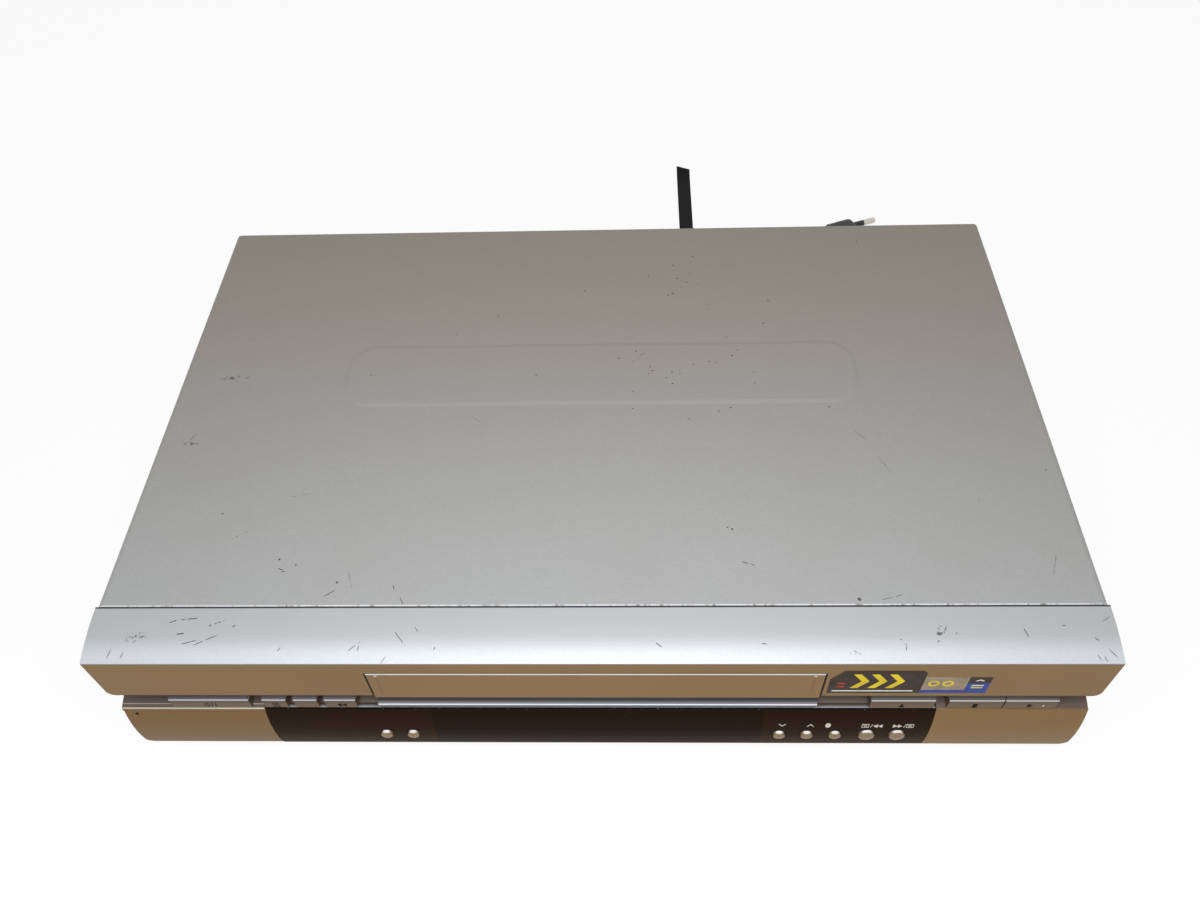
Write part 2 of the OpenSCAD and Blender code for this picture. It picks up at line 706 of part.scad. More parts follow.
// Front moulding
strip_arc_r = (strip_d * strip_d + strip_drop * strip_drop) / (2 * strip_drop);
module bezel_outside() union() {
    difference() {
        polygon([[y_seam, case_h], [y_crease, case_h], [y_crease, z_upper], [y_groove, z_upper],
                 [y_groove, z_groove], [y_crease, z_ledge], [y_low, z_base], [y_seam, z_base]]);
        difference() {
            translate([y_crease - 1, z_crease - 1]) square([strip_d + 1, strip_drop + 2]);
            translate([y_seam, case_h - strip_arc_r]) circle(strip_arc_r, $fn = arc_fn);
            translate([y_crease, z_crease - 2]) square([strip_d, 2]);
        }
    }
    translate([y_low, z_base]) rotate(-lean) intersection() {
        translate([belly_r - belly, face_l / 2]) circle(belly_r, $fn = arc_fn);
        translate([-belly - 1, belly_flat / 2]) square([belly + 2, face_l - belly_flat]);
    }
}
module bezel_inside() polygon([[y_seam + 1, case_h - cover_t - front_wall],
    [y_crease + front_wall + 6, case_h - cover_t - front_wall],
    [y_crease + front_wall, z_crease - front_wall], [y_crease + front_wall, z_upper + front_wall],
    [y_groove + front_wall, z_upper + front_wall], [y_groove + front_wall, z_groove - front_wall],
    [y_crease + lower_wall, z_ledge - front_wall], [y_low + lower_wall, z_base + front_wall],
    [y_seam + 1, z_base + front_wall]]);
module moulding() difference() {
    union() {
        difference() {
            along_x(-half_w, half_w) bezel_outside();
            along_x(-half_w + front_wall, half_w - front_wall) bezel_inside();
            block([-half_w + front_wall, y_low + flange_d, z_base - 1],
                  [half_w - front_wall, y_seam + 2, z_base + front_wall + 1]);
        }
        block([-wall_x + tongue_inset, y_seam - tongue_inset, case_h - cover_t - front_wall],
              [wall_x - tongue_inset, y_seam + tongue_l, case_h - cover_t - seat_gap]);
        for (p = low_posts) rod_y(y_crease + lower_wall - 2, y_board, p[0], p[1], board_post_r);
        for (p = high_posts) rod_y(y_groove + 1, y_board, p[0], p[1], board_post_r);
        both_sides() block([door_lug_x, y_crease + 1, door_pivot[1] - door_lug_h / 2],
                           [door_lug_x + door_lug_t, door_pivot[0] + door_lug_h / 2,
                               door_pivot[1] + door_lug_h / 2]);
        for (x = [av_mouth[0] - 2, av_mouth[1] + 2]) rod_y(y_crease, y_jack_plate, x, jack_z, jack_post_r);
    }
    both_sides() along_y(y_crease - 1, y_groove + seat_gap) translate([half_w, z_upper])
        corner_waste(corner_r);
    block([-slot_x, y_crease - 1, slot_floor], [slot_x, y_groove + front_wall + 1, slot_top]);
    both_sides() rod_x(0, door_lug_x + door_lug_t + 1, door_pivot[0], door_pivot[1], door_pin_r + run_gap);
    for (b = BARS) bar_stem(b, slip_gap, y_groove - 1, y_groove + front_wall + 1);
    on_lower_face() {
        along_y(-belly - 1, corner_r + 1) translate([half_w, 0]) corner_waste(corner_r);
        block([-window_w / 2 - seat_gap, -belly - 1, window_edge - seat_gap],
              [window_w / 2 + seat_gap, window_t + seat_gap, face_l + 3]);
        block([-display_w / 2, -1, display_margin], [display_w / 2, through_y, face_l - display_margin]);
        for (b = ROUNDS) rod_y(-1, through_y, b[0], round_z, round_stem_r + slip_gap);
        block([-half_w - 1, -belly - 1, av_pin[1]], [-window_w / 2, av_t + slip_gap, av_z1 + slip_gap]);
        block([-half_w - 1, -belly - 1, -1], [-window_w / 2, through_y, av_pin[1] + slip_gap]);
        block([av_mouth[0], -1, av_pin[1]], [av_mouth[1], through_y, av_mouth_top]);
    }
}
// Lugs that carry the socket door's pin
module av_lugs() on_lower_face() for (x = av_pin_x)
    rod_x(x - av_ear_w / 2, x + av_ear_w / 2, av_pin[0], av_pin[1], av_lug_r);
module front_bezel() color("#b7a58a") difference() {
    union() {
        moulding();
        av_lugs();
    }
    on_lower_face() rod_x(av_pin_x[0] - av_ear_w, av_pin_x[1] + av_ear_w, av_pin[0], av_pin[1],
        av_pin_r + run_gap);
}
module display_window() color("#2a1d14") on_lower_face() difference() {
    intersection() {
        block([-window_w / 2, -belly - 1, window_edge], [window_w / 2, window_t, face_l - 0.1]);
        belly_body(-window_w / 2, window_w / 2);
    }
    for (b = ROUNDS) rod_y(-belly - 1, window_t + 1, b[0], round_z, b[1] + slip_gap);
}
module cassette_door() color("#8a6f50") {
    along_x(-door_w / 2, door_w / 2) union() {
        translate([y_crease, door_bottom]) square([door_t, door_top - door_bottom]);
        translate([y_crease, door_bottom]) square([door_back_y + door_t - y_crease, door_t]);
        translate([door_back_y, lip_z]) square([door_t, door_bottom - lip_z + door_t]);
        translate([lip_y, lip_z]) circle(lip_r);
    }
    both_sides() {
        block([door_w / 2 - door_cheek_t, y_crease + door_t - eps, door_pivot[1] - door_cheek_r],
              [door_w / 2, door_pivot[0] + door_cheek_r, door_top]);
        rod_x(door_w / 2 - door_pin_in, door_lug_x + door_lug_t - 0.5, door_pivot[0],
            door_pivot[1], door_pin_r);
    }
}
function spring_point(t) = [spring_x + spring_pitch * t, door_pivot[0] + spring_r * cos(360 * t),
                            door_pivot[1] + spring_r * sin(360 * t)];
module spring_tube(p, r, sides) {
    n = len(p);
    points = [for (i = [0:n - 1]) let (d = path_dir(p, i), s = unit(cross([1, 0, 0], d)), u = cross(d, s))
        each [for (k = [0:sides - 1]) p[i] + r * (cos(360 * k / sides) * s + sin(360 * k / sides) * u)]];
    skin = [for (i = [0:n - 2], k = [0:sides - 1])
        let (a = i * sides + k, b = i * sides + (k + 1) % sides)
        each [[a, a + sides, b], [b, a + sides, b + sides]]];
    caps = [for (k = [1:sides - 2]) each [[0, k, k + 1],
        [(n - 1) * sides, (n - 1) * sides + k + 1, (n - 1) * sides + k]]];
    polyhedron(points, concat(skin, caps), convexity = 10);
}
module door_spring() color("lightgray")
    spring_tube([for (i = [0:spring_curls * spring_rings])
        spring_point(i / spring_rings)], spring_wire / 2, 6);
module av_door() color("#8a6f50") on_lower_face() {
    difference() {
        intersection() {
            block([av_left, -belly - 1, av_z0], [av_right, av_t, av_z1]);
            belly_body(av_left, av_right);
        }
        mirror([1, 0, 0]) along_y(-belly - 1, av_t + 1) translate([-av_left, av_z0]) corner_waste(corner_r);
    }
    for (x = [av_mouth[0] + 4, av_mouth[1] - 4]) block([x - av_ear_w / 2, av_t - eps, av_pin[1] - av_pin_r],
                                                      [x + av_ear_w / 2, av_pin[0], av_pin[1] + av_pin_r]);
    rod_x(av_pin_x[0] - av_ear_w / 2, av_pin_x[1] + av_ear_w / 2, av_pin[0], av_pin[1], av_pin_r);
}
module front_jacks() color("silver") for (x = jack_x) difference() {
    rod_y(y_jack_plate - jack_l, y_jack_plate, x, jack_z, jack_r);
    rod_y(y_jack_plate - jack_l - 1, y_jack_plate + 1, x, jack_z, jack_insert_r);
}
module jack_holder() color("#1c1c1c") {
    block([av_mouth[0] - 4, y_jack_plate, jack_z - jack_plate_h / 2],
          [av_mouth[1] + 4, y_jack_plate + jack_plate_t, jack_z + jack_plate_h / 2]);
    for (x = jack_x) difference() {
        rod_y(y_jack_plate - jack_l + 1, y_jack_plate + eps, x, jack_z, jack_insert_r - run_gap);
        rod_y(y_jack_plate - jack_l, y_jack_plate - 1, x, jack_z, jack_bore_r);
    }
}

// Buttons
module bar_stem(b, gap, y0, y1) let (x = (b[0] + b[1]) / 2)
    block([x - stem_w / 2 - gap, y0, bar_z - stem_h / 2 - gap],
        [x + stem_w / 2 + gap, y1, bar_z + stem_h / 2 + gap]);
module bar_button(b) color("#7a6a5a") {
    along_x(b[0], b[1]) union() {
        polygon([[bar_y0, bar_z0], [bar_y0, bar_z0 + bar_face_h],
            [bar_y0, bar_z0 + bar_face_h] + bar_top_step,
                 [bar_back, z_upper - bar_top_gap], [bar_back, z_groove + slip_gap]]);
        translate([bar_y0 + bar_nose_r, bar_z0 + bar_face_h]) circle(bar_nose_r);
    }
    bar_stem(b, 0, bar_back - eps, y_stem_end);
}
module power_button() bar_button(power_x);
module timer_button() bar_button(timer_x);
module search_button() bar_button(search_x);
module rewind_bar() bar_button(rewind_bar_x);
module eject_button() bar_button(eject_x);
module stop_button() bar_button(stop_x);
module play_button() bar_button(play_x);
module round_button(b) color("#b59d78") on_lower_face() {
    intersection() {
        rod_y(-round_out - 1, round_cap_back, b[0], round_z, b[1]);
        translate([b[0], dome_r(b[1]) - round_out, round_z]) sphere(dome_r(b[1]), $fn = 128);
    }
    rod_y(round_cap_back - eps, (y_stem_end - y_low) / cos(lean) - 0.9, b[0], round_z, round_stem_r);
}
module tape_button() round_button(tape_b);
module picture_button() round_button(picture_b);
module channel_down_button() round_button(channel_down_b);
module channel_up_button() round_button(channel_up_b);
module record_button() round_button(record_b);
module rewind_button() round_button(rewind_b);
module forward_button() round_button(forward_b);
module front_board() color("darkgreen")
    along_y(y_board, y_board + board_t) union() {
        translate([board_low_x, board_z0]) square([board_x - board_low_x, board_z1 - board_z0]);
        translate([-board_x, board_z1 - 1]) square([board_x - board_inner_x, board_top - board_z1 + 1]);
        translate([board_inner_x, board_z1 - 1]) square([board_x - board_inner_x, board_top - board_z1 + 1]);
    }
module tact_switch(x, z) {
    block([x - switch_w / 2, y_board - switch_h, z - switch_w / 2],
        [x + switch_w / 2, y_board, z + switch_w / 2]);
    rod_y(y_board - switch_h - plunger_h, y_board - switch_h + eps, x, z, plunger_r);
}
module tact_switches() color("black") {
    for (b = BARS) tact_switch((b[0] + b[1]) / 2, bar_z);
    for (b = ROUNDS) tact_switch(b[0], z_round_end);
}
module display_tube() color("#20302c") difference() {
    tube_x = display_w / 2 - tube_rim[0];
    block([-tube_x, y_board - tube_d, z_base + tube_z[0]], [tube_x, y_board, z_ledge - tube_z[1]]);
    block([-tube_x + tube_rim[0], y_board - tube_d - 1, z_base + tube_z[0] + tube_rim[1]],
          [tube_x - tube_rim[0], y_board - tube_d + tube_recess, z_ledge - tube_z[1] - tube_rim[1]]);
}

// Rear sockets
module scart_sockets() color("#151515") difference() {
    union() {
        block([scart_x - scart_plate_w / 2, y_panel_in, z_tray + seat_gap],
              [scart_x + scart_plate_w / 2, y_panel_out, scart_plate_top]);
        for (z = scart_z) block([scart_x - scart_w / 2, y_panel_in - scart_back, z - scart_h / 2],
                                [scart_x + scart_w / 2, y_panel_out + scart_proud, z + scart_h / 2]);
    }
    for (z = scart_z) along_y(y_panel_out + scart_proud - scart_depth, y_panel_out + scart_proud + 1)
        translate([scart_x, z]) scart_mouth(scart_w / 2 - scart_wall, scart_h / 2 - scart_wall);
}
// Mouth of a socket: a rectangle with one slanted corner
module scart_mouth(a, b) polygon([[-a, -b], [a - scart_slant[0], -b], [a, -b + scart_slant[1]],
    [a, b], [-a, b]]);
module tuner_box() color("lightsteelblue")
    block([tuner_x[0], tuner_y0, boards_z + board_t], [tuner_x[1], y_panel_in - seat_gap, tuner_top]);
module aerial_body(x) {
    rod_y(y_panel_in - seat_gap, y_panel_out + eps, x, aerial_z, aerial_r - neck_step);
    rod_y(y_panel_out, y_rear_most, x, aerial_z, aerial_r);
}
module aerial_sockets() color("silver") {
    difference() {
        aerial_body(aerial_x[0]);
        rod_y(y_panel_out + 1, y_rear_most + 1, aerial_x[0], aerial_z, aerial_r - aerial_wall);
    }
    rod_y(y_panel_out + 1 - eps, y_rear_most - 1, aerial_x[0], aerial_z, aerial_core_r);
    difference() {
        aerial_body(aerial_x[1]);
        rod_y(y_panel_out + aerial_bore_y, y_rear_most + 1, aerial_x[1], aerial_z, aerial_bore_r);
    }
}
module audio_sockets() color("silver") for (z = audio_z) {
    difference() {
        union() {
            rod_y(y_panel_in - audio_neck, y_panel_out + eps, audio_x, z, jack_r - neck_step);
            rod_y(y_panel_out, y_panel_out + jack_l, audio_x, z, jack_r);
        }
        rod_y(y_panel_out, y_panel_out + jack_l + 1, audio_x, z, jack_insert_r);
    }
    block([audio_x - audio_block / 2, y_panel_in - audio_block, z - audio_block / 2],
          [audio_x + audio_block / 2, y_panel_in - audio_neck + eps, z + audio_block / 2]);
}

// Mains lead
module strain_relief() color("#161616") translate([lead_x, 0, lead_z]) rotate([-90, 0, 0]) rotate_extrude()
    polygon([[0, y_panel_in - relief_head_l], [relief_flange_r, y_panel_in - relief_head_l],
             [relief_flange_r, y_panel_in], [relief_r, y_panel_in], [relief_r, y_panel_out],
             [relief_flange_r, y_panel_out], [relief_flange_r, y_panel_out + relief_lip[0]],
             [relief_r, y_panel_out + relief_lip[1]], [lead_r + relief_tip, relief_end], [0, relief_end]]);
module mains_lead() color("#161616") {
    tube(lead_out, lead_r, lead_sides);
    tube(lead_in, lead_r, lead_sides);
}
module cord_coil() color("#161616") tube(coil_path, lead_r, coil_sides);
module at_plug() translate([plug_at[0], plug_at[1], plug_z]) rotate([0, 0, plug_heading]) children();
module mains_plug() color("#161616") at_plug() intersection() {
    translate([0, 0, -plug_h / 2]) linear_extrude(plug_h)
        polygon([[0, -plug_neck[0]], [plug_at_l[0], -plug_neck[1]], [plug_at_l[1], -plug_w / 2 + plug_edge],
                 [plug_at_l[2], -plug_w / 2], [plug_l, -plug_w / 2], [plug_l, plug_w / 2],
                     [plug_at_l[2], plug_w / 2],
                 [plug_at_l[1], plug_w / 2 - plug_edge], [plug_at_l[0], plug_neck[1]], [0, plug_neck[0]]]);
    rotate([90, 0, 0]) translate([0, 0, -plug_w]) linear_extrude(2 * plug_w)
        polygon([[0, -plug_neck[0]], [plug_rise_l, -plug_h / 2], [plug_l, -plug_h / 2], [plug_l, plug_h / 2],
                 [plug_rise_l, plug_h / 2], [0, plug_neck[0]]]);
}
module plug_pins() color("silver") at_plug() for (s = [-1, 1]) translate([plug_l, s * pin_pitch / 2, 0])
    rotate([0, 90, 0]) rotate_extrude()
        polygon([[0, 0], [pin_r, 0], [pin_r, pin_l - pin_tip[0]], [pin_r - pin_tip[1], pin_l], [0, pin_l]]);
module cord_tie() color("#161616") {
    tie_y0 = coil_at[1] + coil_radius(turn_mid - 0.5) - lead_r - 1.2;
    tie_y1 = coil_at[1] + coil_radius(0.25) + lead_r + slip_gap;
    tie_z1 = layer_step + lead_d + slip_gap;
    along_x(tie_x - tie_w / 2, tie_x + tie_w / 2) union() {
        difference() {
            translate([tie_y0 - tie_t, 0]) square([tie_y1 - tie_y0 + 2 * tie_t, tie_z1 + tie_t]);
            translate([tie_y0, -1]) square([tie_y1 - tie_y0, tie_z1 + 1]);
        }
        translate([tie_y1, 0]) square([tie_end - tie_y1, tie_t]);
    }
}

// Boards inside
module circuit_boards() color("#3d6b35") {
    block([main_board_x[0], main_board_y[0], boards_z],
        [main_board_x[1], main_board_y[1], boards_z + board_t]);
    block([power_board_x[0], power_board_y[0], boards_z],
        [power_board_x[1], power_board_y[1], boards_z + board_t]);
}
function on_board(bx, by, share) = [bx[0] + share[0] * (bx[1] - bx[0]), by[0] + share[1] * (by[1] - by[0])];
module capacitors(bx, by, caps) for (c = caps) let (q = on_board(bx, by, c)) rod_z(0, c[3], q[0], q[1], c[2]);
power_board_mid = (power_board_x[0] + power_board_x[1]) / 2;
module board_parts() color("#303030") translate([0, 0, boards_z + board_t]) {
    for (c = CHIPS) let (q = on_board(main_board_x, main_board_y, c))
        block([q[0] - c[2] / 2, q[1] - chip_w / 2, 0], [q[0] + c[2] / 2, q[1] + chip_w / 2, chip_t]);
    capacitors(main_board_x, main_board_y, MAIN_CAPS);
    capacitors(power_board_x, power_board_y, POWER_CAPS);
    block([power_board_mid - sink_w / 2, power_board_y[1] - sink_y - sink_t, 0],
          [power_board_mid + sink_w / 2, power_board_y[1] - sink_y, sink_h]);
}
module power_transformer() color("#6a6a68")
    translate([power_board_mid, power_board_y[1] - core_y, boards_z + board_t]) {
        difference() {
            block([-core_w / 2, -core_d / 2, 0], [core_w / 2, core_d / 2, core_h]);
            for (s = [-1, 1]) block([s * core_window_x - core_window_w / 2, -core_d, core_limb],
                                    [s * core_window_x + core_window_w / 2, core_d, core_h - core_limb]);
        }
        former_x = core_window_x - core_window_w / 2 - 0.1;
        for (y = [-core_d / 2 - coil_former_d, core_d / 2])
            block([-former_x, y, core_limb + 0.1], [former_x, y + coil_former_d, core_h - core_limb - 0.1]);
    }

// Tape deck
module deck_plate() color("lightgray") {
    difference() {
        union() {
            block([-deck_x, deck_y[0], z_deck], [deck_x, deck_y[1], deck_top]);
            rod_z(deck_top - eps, deck_top + capstan_boss_h, capstan_at[0], capstan_at[1], capstan_boss_r);
        }
        rod_z(z_deck - 1, deck_top + capstan_boss_h + 1, capstan_at[0], capstan_at[1], capstan_r + run_gap);
        for (s = [-1, 1]) block([s * guide_x - guide_slot_w / 2, guide_y0 - guide_slot_end, z_deck - 1],
                                [s * guide_x + guide_slot_w / 2,
                                    guide_y0 + guide_travel + guide_slot_end, deck_top + 1]);
        for (p = deck_screw_at) rod_z(z_deck - 1, deck_top + 1, p[0], p[1], screw_r + run_gap);
    }
    for (s = [-1, 1]) rod_z(deck_top - eps, deck_top + reel_pin_h, s * reel_at[0], reel_at[1], reel_pin_r);
    rod_z(deck_top - eps, deck_top + arm_pin_h, arm_pivot[0], arm_pivot[1], arm_pin_r);
}
module drum_frame() translate([drum_at[0], drum_at[1], deck_top]) rotate([-drum_tilt, 0, 0]) children();
module lower_drum() color("#b9bcc0") {
    intersection() {
        drum_frame() union() {
            translate([0, 0, -drum_sink]) cylinder(h = drum_split + drum_sink, r = drum_r);
            cylinder(h = drum_top - drum_shaft_short, r = drum_shaft_r);
        }
        block([drum_at[0] - 2 * drum_r, drum_at[1] - 2 * drum_r, deck_top],
              [drum_at[0] + 2 * drum_r, drum_at[1] + 2 * drum_r, deck_top + 2 * drum_r]);
    }
}
module upper_drum() color("#d4d6d9") drum_frame() difference() {
    translate([0, 0, drum_split + slip_gap]) cylinder(h = drum_top - drum_split - slip_gap, r = drum_r);
    cylinder(h = drum_top + 1, r = drum_shaft_r + run_gap);
    translate([0, 0, drum_top - drum_recess]) difference() {
        cylinder(h = drum_recess + 1, r = drum_r - drum_rim);
        translate([0, 0, -1]) cylinder(h = drum_recess + 3, r = drum_hub_r);
    }
}
module capstan() color("#a9abae") {
    rod_z(z_floor + flywheel_gap, deck_top + capstan_h, capstan_at[0], capstan_at[1], capstan_r);
    rod_z(z_floor + flywheel_gap, z_deck - flywheel_gap, capstan_at[0], capstan_at[1], flywheel_r);
}
module pinch_arm() color("#8c8e91") difference() {
    union() {
        translate([0, 0, deck_top + arm_z]) linear_extrude(arm_t) union() {
            translate(arm_pivot) circle(arm_boss_r);
            translate(roller_at) circle(arm_end_r);
            translate(arm_pivot) rotate(arm_rest_a) translate([0, -arm_w / 2]) square([arm_l, arm_w]);
        }
        rod_z(deck_top + arm_z + eps, deck_top + roller_pin_h, roller_at[0], roller_at[1], roller_pin_r);
    }
    rod_z(deck_top, deck_top + arm_pin_h + 1, arm_pivot[0], arm_pivot[1], arm_pin_r + run_gap);
}
module pinch_roller() color("#1d1d1d") difference() {
    rod_z(deck_top + roller_z[0], deck_top + roller_z[1], roller_at[0], roller_at[1], roller_r);
    rod_z(deck_top + roller_z[0] - 1, deck_top + roller_z[1] + 1, roller_at[0], roller_at[1],
        roller_pin_r + run_gap);
}
module reel(s) difference() {
    union() {
        rod_z(reel_z0, reel_z0 + reel_t, s * reel_at[0], reel_at[1], reel_r);
        rod_z(reel_z0, reel_z0 + reel_hub_h, s * reel_at[0], reel_at[1], reel_hub_r);
        for (a = [0, 120, 240]) translate([s * reel_at[0], reel_at[1], reel_z0]) rotate(a)
            translate([reel_hub_r - 1, -reel_wing[1] / 2, 0]) cube(reel_wing);
    }
    rod_z(reel_z0 - 1, reel_z0 + reel_hub_h + 1, s * reel_at[0], reel_at[1], reel_pin_r + run_gap);
}
module supply_reel() color("white") reel(-1);
module takeup_reel() color("white") reel(1);
module tape_heads() color("#9a9ca0") for (p = [erase_head_at, sound_head_at])
    block([p[0] - head_size[0] / 2, p[1] - head_size[1] / 2, deck_top],
          [p[0] + head_size[0] / 2, p[1] + head_size[1] / 2, deck_top + head_size[2]]);
module tape_guide(s) {
    block([s * guide_x - guide_block[0] / 2, guide_y0 - guide_block[1] / 2, deck_top + slip_gap],
          [s * guide_x + guide_block[0] / 2, guide_y0 + guide_block[1] / 2,
              deck_top + slip_gap + guide_block[2]]);
    block([s * guide_x - guide_slot_w / 2 + slip_gap, guide_y0 - guide_key_l / 2, z_deck - guide_key_drop],
          [s * guide_x + guide_slot_w / 2 - slip_gap, guide_y0 + guide_key_l / 2, deck_top + slip_gap + eps]);
    rod_z(deck_top + guide_block[2], deck_top + guide_post_h, s * guide_x, guide_y0, guide_post_r);
}
module left_guide() color("#c8cacc") tape_guide(-1);
module right_guide() color("#c8cacc") tape_guide(1);

// Cassette lift
module carriage_frame() color("#c3c5c7") {
    difference() {
        both_sides() union() {
            block([frame_in, holder_y[0], deck_top], [frame_out, frame_y1, frame_top]);
            block([0, holder_y[0] + front_brace[0], frame_top - brace_t],
                [frame_out, holder_y[0] + front_brace[1], frame_top]);
            block([0, frame_y1 - rear_brace_d, frame_top - brace_t], [frame_out, frame_y1, frame_top]);
        }
        both_sides() block([frame_in - 1, slider_pin_y[0] - lift_pin_r - slip_gap,
            slider_pin_z - lift_pin_r - slip_gap],
            [frame_out + 1, slider_pin_y[1] + lift_in + lift_pin_r + slip_gap,
                slider_pin_z + lift_pin_r + slip_gap]);
        rod_x(frame_in - 1, frame_out + 1, gear_at[0], gear_at[1], gear_shaft_r + run_gap);
    }
    for (p = bracket_posts) rod_x(frame_out - eps, bracket_x + eps, p[0], p[1], bracket_post_r);
    difference() {
        block([bracket_x, motor_at[0] - bracket_half[0], motor_at[1] - bracket_half[1]],
              [bracket_x + bracket_t, motor_at[0] + bracket_half[0], motor_at[1] + bracket_half[1]]);
        rod_x(bracket_x - 1, bracket_x + bracket_t + 1, motor_at[0], motor_at[1], motor_hole_r);
    }
}
module carriage_slider() color("#e3e3de") {
    difference() {
        union() {
            both_sides() union() {
                block([slider_in, holder_y[0], slider_z0], [slider_out, holder_y[1], slider_top]);
                block([0, holder_y[1] - slider_brace_d, slider_top - brace_t],
                    [slider_out, holder_y[1], slider_top]);
                for (y = slider_pin_y)
                    rod_x(slider_out - eps, frame_out + pin_out, y, slider_pin_z, lift_pin_r);
            }
            block([slider_in, holder_y[0], slider_z0],
                [slider_out, holder_y[0] + lift_in + rack_over, slider_z0 + rack_bar_h]);
        }
        both_sides() for (y = holder_pin_y)
            block([slider_in - 1, y - lift_pin_r - slip_gap,
                holder_pin_z - lift_down - lift_pin_r - slip_gap],
                  [slider_out + 1, y + lift_pin_r + slip_gap, holder_pin_z + lift_pin_r + slip_gap]);
    }
    rack_pitch = PI * gear_m;
    rack_n = floor((lift_in + 2) / rack_pitch);
    root_half = 0.205 * rack_pitch + ded_h * tan(20);
    tip_half = 0.205 * rack_pitch - add_h * tan(20);
    along_x(slider_in, slider_out) for (i = [0:rack_n]) let (y = gear_at[0] + rack_pitch * (0.5 - i))
        polygon([[y - root_half, rack_z + ded_h + 0.1], [y + root_half, rack_z + ded_h + 0.1],
                 [y + tip_half, rack_z - add_h], [y - tip_half, rack_z - add_h]]);
}
module cassette_holder() color("#d8d9da") {
    both_sides() union() {
        block([holder_in, holder_front, holder_z0], [holder_out, holder_y[1], holder_top]);
        block([ledge_in, ledge_y0, holder_z0], [holder_out, holder_y[1], holder_floor_z]);
        for (y = holder_pin_y) rod_x(holder_out - eps, slider_out - 0.2, y, holder_pin_z, lift_pin_r);
    }
    for (y = [holder_front, holder_y[1] - holder_strap_d])
        block([-holder_out, y, holder_top - sheet_t], [holder_out, y + holder_strap_d, holder_top]);
    block([-holder_bridge_w / 2, holder_front, holder_top - sheet_t],
        [holder_bridge_w / 2, holder_y[1], holder_top]);
}
module carriage_gear() color("#e8e4d4") {
    along_x(slider_in - 0.1, slider_out + 0.2) translate(gear_at) gear_shape(pinion_teeth);
    rod_x(slider_in - 0.1, wheel_x + wheel_t, gear_at[0], gear_at[1], gear_shaft_r);
    along_x(wheel_x, wheel_x + wheel_t) translate(gear_at) gear_shape(wheel_teeth);
}
module motor_pinion() color("#c9a24a") {
    along_x(wheel_x, wheel_x + wheel_t) translate(motor_at) gear_shape(motor_teeth);
    rod_x(wheel_x, bracket_x + bracket_t - 0.2, motor_at[0], motor_at[1], motor_shaft_r);
}
module loading_motor() color("#77797c") {
    rod_x(bracket_x + bracket_t, bracket_x + bracket_t + motor_body_l, motor_at[0], motor_at[1],
        motor_body_r);
    rod_x(bracket_x + bracket_t + motor_body_l - eps, bracket_x + bracket_t + motor_body_l + motor_nose[0],
          motor_at[0], motor_at[1], motor_nose[1]);
}

top_cover();
base_frame();
bottom_plate();
feet();
rear_panel();
front_bezel();
display_window();
screws();
cassette_door();
door_spring();
av_door();
front_jacks();
jack_holder();
power_button();
timer_button();
search_button();
rewind_bar();
eject_button();
stop_button();
play_button();
tape_button();
picture_button();
channel_down_button();
channel_up_button();
record_button();
rewind_button();
forward_button();
front_board();
tact_switches();
display_tube();
scart_sockets();
tuner_box();
aerial_sockets();
audio_sockets();
strain_relief();
mains_lead();
cord_coil();
mains_plug();
plug_pins();
cord_tie();
circuit_boards();
board_parts();
power_transformer();
deck_plate();
carriage_frame();
carriage_slider();
cassette_holder();
carriage_gear();
motor_pinion();
loading_motor();
lower_drum();
upper_drum();
capstan();
pinch_arm();
pinch_roller();
supply_reel();
takeup_reel();
tape_heads();
left_guide();
right_guide();
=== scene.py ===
"""Finishes, printed signs, sticker, wear, screws and mains lead of a front-loading cassette recorder."""

import math

import bmesh
import bpy
from mathutils import Matrix, Vector


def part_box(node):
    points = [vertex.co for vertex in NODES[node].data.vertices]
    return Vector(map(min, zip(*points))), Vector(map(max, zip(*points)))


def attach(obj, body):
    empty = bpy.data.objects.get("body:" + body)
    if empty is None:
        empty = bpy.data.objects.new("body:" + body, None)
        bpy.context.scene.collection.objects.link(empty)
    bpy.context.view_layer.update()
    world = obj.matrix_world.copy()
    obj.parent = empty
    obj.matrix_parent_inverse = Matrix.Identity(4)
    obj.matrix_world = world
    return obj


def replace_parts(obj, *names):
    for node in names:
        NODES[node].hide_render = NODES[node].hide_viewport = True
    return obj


bl_info = {
    "name": "Video recorder dress",
    "version": (1, 0, 0),
    "blender": (4, 5, 0),
    "location": "3D View > Sidebar > Recorder",
    "description": "Dresses the recorder's solids with finishes, signs, wear and a mains lead",
    "category": "Object",
}

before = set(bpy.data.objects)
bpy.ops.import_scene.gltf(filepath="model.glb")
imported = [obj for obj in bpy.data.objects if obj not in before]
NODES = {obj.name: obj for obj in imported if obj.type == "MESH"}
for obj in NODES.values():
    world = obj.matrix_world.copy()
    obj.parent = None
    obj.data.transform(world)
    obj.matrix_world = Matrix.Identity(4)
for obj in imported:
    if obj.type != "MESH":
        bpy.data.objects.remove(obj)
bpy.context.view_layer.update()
MM = 0.001

# Planes of the front and sides, in millimetres, as the solids have them
HALF_W = 215
Y_CREASE = -140
Y_SEAM = -115
Y_LOW = -142
Z_TOP = 88
Z_CREASE = 84.4
Z_UPPER = 54.5
Z_DOOR = 52.7
Z_LEDGE = 40.8
Z_BASE = 8.5
WINDOW_END = 149.2
DISPLAY_END = 73.5

# The lower face leans back and bulges
LEAN = math.atan((Y_CREASE - Y_LOW) / (Z_LEDGE - Z_BASE))
FACE_L = (Z_LEDGE - Z_BASE) / math.cos(LEAN)
BELLY = 1.6
BELLY_HALF = FACE_L / 2 - 0.5
BELLY_R = (BELLY_HALF ** 2 + BELLY ** 2) / (2 * BELLY)


